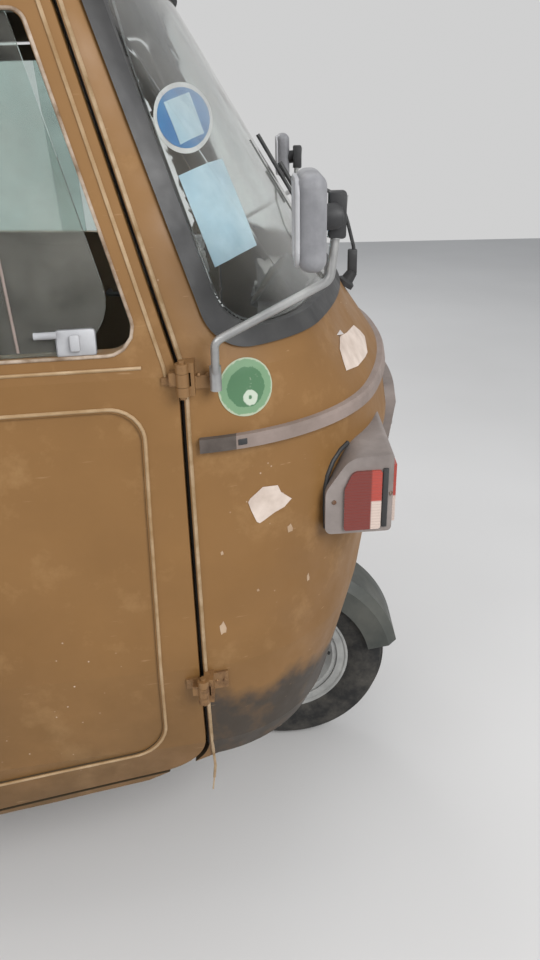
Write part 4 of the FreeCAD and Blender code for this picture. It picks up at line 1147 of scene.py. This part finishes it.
def make_tail_lamps():
    """Three-part lenses with black frames on the tail lamps, and round reflectors."""
    x = REAR_END + 8
    spans = ((-56, -18, TAIL_RED), (-16, 18, AMBER), (20, 56, WHITE_LENS))
    domed = [(0, 0), (0, 26), (5, 26), (7, 21), (7.8, 0)]
    for side, end in ((-1, "right"), (1, "left")):
        middle = side * 500
        rim = slab(at(x - 5, middle - 62, 498), at(x + 6, middle + 62, 562), 4)
        done(rim, "tail_lamp_frame_" + end, BLACK_PLASTIC)
        for i, (first, last, finish) in enumerate(spans):
            low, high = sorted((middle - side * first, middle - side * last))
            lens = slab(at(x - 13, low, 504), at(x - 4, high, 556), 4, 3)
            done(lens, "tail_lamp_lens_" + end + "_" + str(i + 1), finish)
        dot = turned(domed, at(RAIL_END + 0.5, side * 350, 528), (-1, 0, 0), 32)
        done(dot, "rear_reflector_" + end, TAIL_RED)


# Running gear

def make_spring_coils():
    """A coil spring round each rear damper."""
    coils = []
    turns, steps, reach = 7, 14, 0.033
    across_way = Vector((1, 0, 0))
    for side in (-1, 1):
        foot, head = at(-665, side * 362, 262), at(-665, side * 314, 512)
        other = (head - foot).normalized().cross(across_way)
        points = []
        for i in range(turns * steps + 1):
            angle = math.tau * i / steps
            middle = foot.lerp(head, i / (turns * steps))
            points.append(middle + (across_way * math.cos(angle) + other * math.sin(angle)) * reach)
        coils.append(wire(points, 4.8, sides=1))
    done(coils, "damper_springs", CHASSIS)


def make_brake_drums():
    profile = [(-34, 36), (-34, 70), (-30, 86), (-14, 88), (-12, 84), (-6, 84), (-4, 60), (-6, 36), (-34, 36)]
    for name, outward, _ in WHEELS[1:]:
        drum = turned(profile, wheel_middle(name), (0, outward, 0))
        done(drum, name + "_brake_drum", CHASSIS, body=name)


def make_engine_detail():
    """Cooling fins, a round fan cover with slots, bolts and the drive covers on the plain engine block."""
    fins = [slab(at(*low, z), at(*high, z + 4), 1, 1) for z in range(292, 447, 14)
            for low, high in (((-858, -158), (-706, -146)), ((-699, -120), (-688, 40)))]
    done(fins, "engine_cooling_fins", ALLOY)
    hub = at(-920, 149, 356)
    cover = [turned([(0, 0), (0, 92), (18, 92), (26, 80), (26, 50), (20, 46), (20, 0)], hub, (0, 1, 0), 44)]
    for i in range(10):
        bar = slab(at(-922, 168, 374), at(-918, 176, 436), 1, 1)
        cover.append(swung(bar, math.tau * i / 10, hub))
    done(cover, "engine_fan_cover", ALLOY)
    bolts = [screw(at(x, side * 150, z), mm(0, side, 0), 6)
             for x in (-990, -720, -850) for z in (262, 446) for side in (-1, 1)]
    done(bolts, "engine_cover_bolts", ZINC)
    profile = [(0, 0), (0, 34), (12, 36)]
    for along in (18, 30, 42, 54):
        profile += [(along, 26), (along + 6, 34)]
    profile += [(70, 18), (72, 0)]
    boots = []
    for side in (-1, 1):
        start, end = at(REAR_AXLE, side * 150, 260), at(REAR_AXLE, side * 435, 215)
        boots.append(turned(profile, start, end - start, 28))
    done(boots, "drive_shaft_boots", RUBBER)


def make_exhaust_detail():
    """Rolled rims and straps round the silencer, and its outlet."""
    band = [(-8, 61.5), (-8, 64.5), (8, 64.5), (8, 61.5), (-8, 61.5)]
    bands = [turned(band, at(x, 60, 330), (1, 0, 0)) for x in (-1100, -1180, -1260, -1343)]
    outlet = wire([at(-1340, 40, 318), at(-1392, 40, 312), at(-1420, 40, 300)], 13, 20)
    hanger = wire([at(-1230, 60, 392), at(-1230, 60, 506)], 6)
    done(bands + [outlet, hanger], "silencer_bands_and_outlet", RUST, slot="rusty_steel")


def make_chassis_bolts():
    heads = [screw(*struck("chassis", at(x, side * 262, 50), (0, 0, 1)), 6.5)
             for x in (75, 110, 505, 540) for side in (-1, 1)]
    heads += [screw(*struck("chassis", at(x, side * 700, 526), (0, -side, 0)), 7)
              for x in (-330, -430, -700, -1000, -1300) for side in (-1, 1)]
    done(heads, "chassis_bolts", RUST)


def make_mud_flaps():
    """Rubber flaps behind the rear wheels."""
    flaps = [slab(at(-1036, middle - 56, 150), at(-1032, middle + 56, 236), 1.5)
             for middle in (-TRACK_HALF, TRACK_HALF)]
    done(flaps, "rear_mud_flaps", RUBBER)


# Light, floor and camera

def make_floor():
    nothing_selected()
    bpy.ops.mesh.primitive_plane_add(size=14, location=(0, 0, 0))
    floor = bpy.context.object
    floor.name = "studio_floor"
    f = Finish("studio_paper", Roughness=0.9)
    f.colour(f.mix(f.patches(0.6, 3, 0.3, 0.7), (0.60, 0.59, 0.58), (0.66, 0.65, 0.64)))
    floor.data.materials.append(f.material)


def make_world():
    """Soft even light, and a plain pale backdrop where the camera, a reflection or a glass sees it."""
    world = bpy.data.worlds.new("studio")
    bpy.context.scene.world = world
    world.use_nodes = True
    w = Nodes(world.node_tree)
    soft = w.tree.nodes["Background"]
    w.put((0.86, 0.90, 0.95, 1), soft.inputs["Color"])
    w.put(0.46, soft.inputs["Strength"])
    shown = w.node("Background", Color=(0.74, 0.74, 0.74, 1), Strength=0.85)
    rays = w.node("LightPath").outputs
    seen = w.maths("MAXIMUM", rays["Is Camera Ray"], rays["Is Glossy Ray"])
    seen = w.maths("MAXIMUM", seen, rays["Is Transmission Ray"])
    w.output(seen, soft.outputs["Background"], shown.outputs["Background"], "World Output")


def make_lights():
    lamps = [
        # name, place, points at, size, power
        ("window_light", (3.4, -3.2, 3.4), (0.7, 0, 0.8), 2.6, 190),
        ("fill_light", (-2.6, -3.6, 2.6), (0.2, 0, 0.7), 3.2, 80),
        ("back_light", (-1.5, 4.0, 3.2), (0, 0, 0.6), 3.4, 85),
        ("top_light", (0.3, 0.2, 4.6), (0.3, 0, 0.5), 3.6, 48),
    ]
    for name, place, target, size, power in lamps:
        bpy.ops.object.light_add(type="AREA", location=place)
        lamp = bpy.context.object
        lamp.name = name
        lamp.data.size = size
        lamp.data.energy = power
        lamp.rotation_euler = (Vector(target) - Vector(place)).to_track_quat("-Z", "Y").to_euler()


def make_camera():
    data = bpy.data.cameras.new("photo_camera")
    data.lens = LENS
    data.sensor_width = 36
    data.sensor_fit = "AUTO"
    data.clip_start = 0.02
    camera = bpy.data.objects.new("photo_camera", data)
    bpy.context.collection.objects.link(camera)
    level_up = Vector((0, math.sin(LOOKS_DOWN), math.cos(LOOKS_DOWN)))
    right = Vector((1, 0, 0)) * math.cos(LEANS) - level_up * math.sin(LEANS)
    up = Vector((1, 0, 0)) * math.sin(LEANS) + level_up * math.cos(LEANS)
    turn = Matrix((right, up, right.cross(up))).transposed().to_4x4()
    camera.matrix_world = Matrix.Translation(CAMERA_AT) @ turn
    bpy.context.scene.camera = camera


for make in (
        dress_nodes, make_wheels, make_door_gap, make_hinge_screws, make_stickers, make_paint_chips,
        make_strip_slot, make_corner_lamp_trim, make_headlamp, make_wiper, make_grille, make_mirror_faces,
        make_screen_papers, make_door_trim, make_pane_trim, make_bar_controls, make_dial, make_dash,
        make_floor_mat, make_floor_controls, make_seats, make_rear_window_rubber, make_bed_floor,
        make_bed_rail, make_tailgate_fittings, make_tail_lamps, make_spring_coils, make_brake_drums,
        make_engine_detail, make_exhaust_detail, make_chassis_bolts, make_mud_flaps, make_floor,
        make_world, make_lights, make_camera):
    make()
bpy.context.scene.view_settings.view_transform = "Standard"
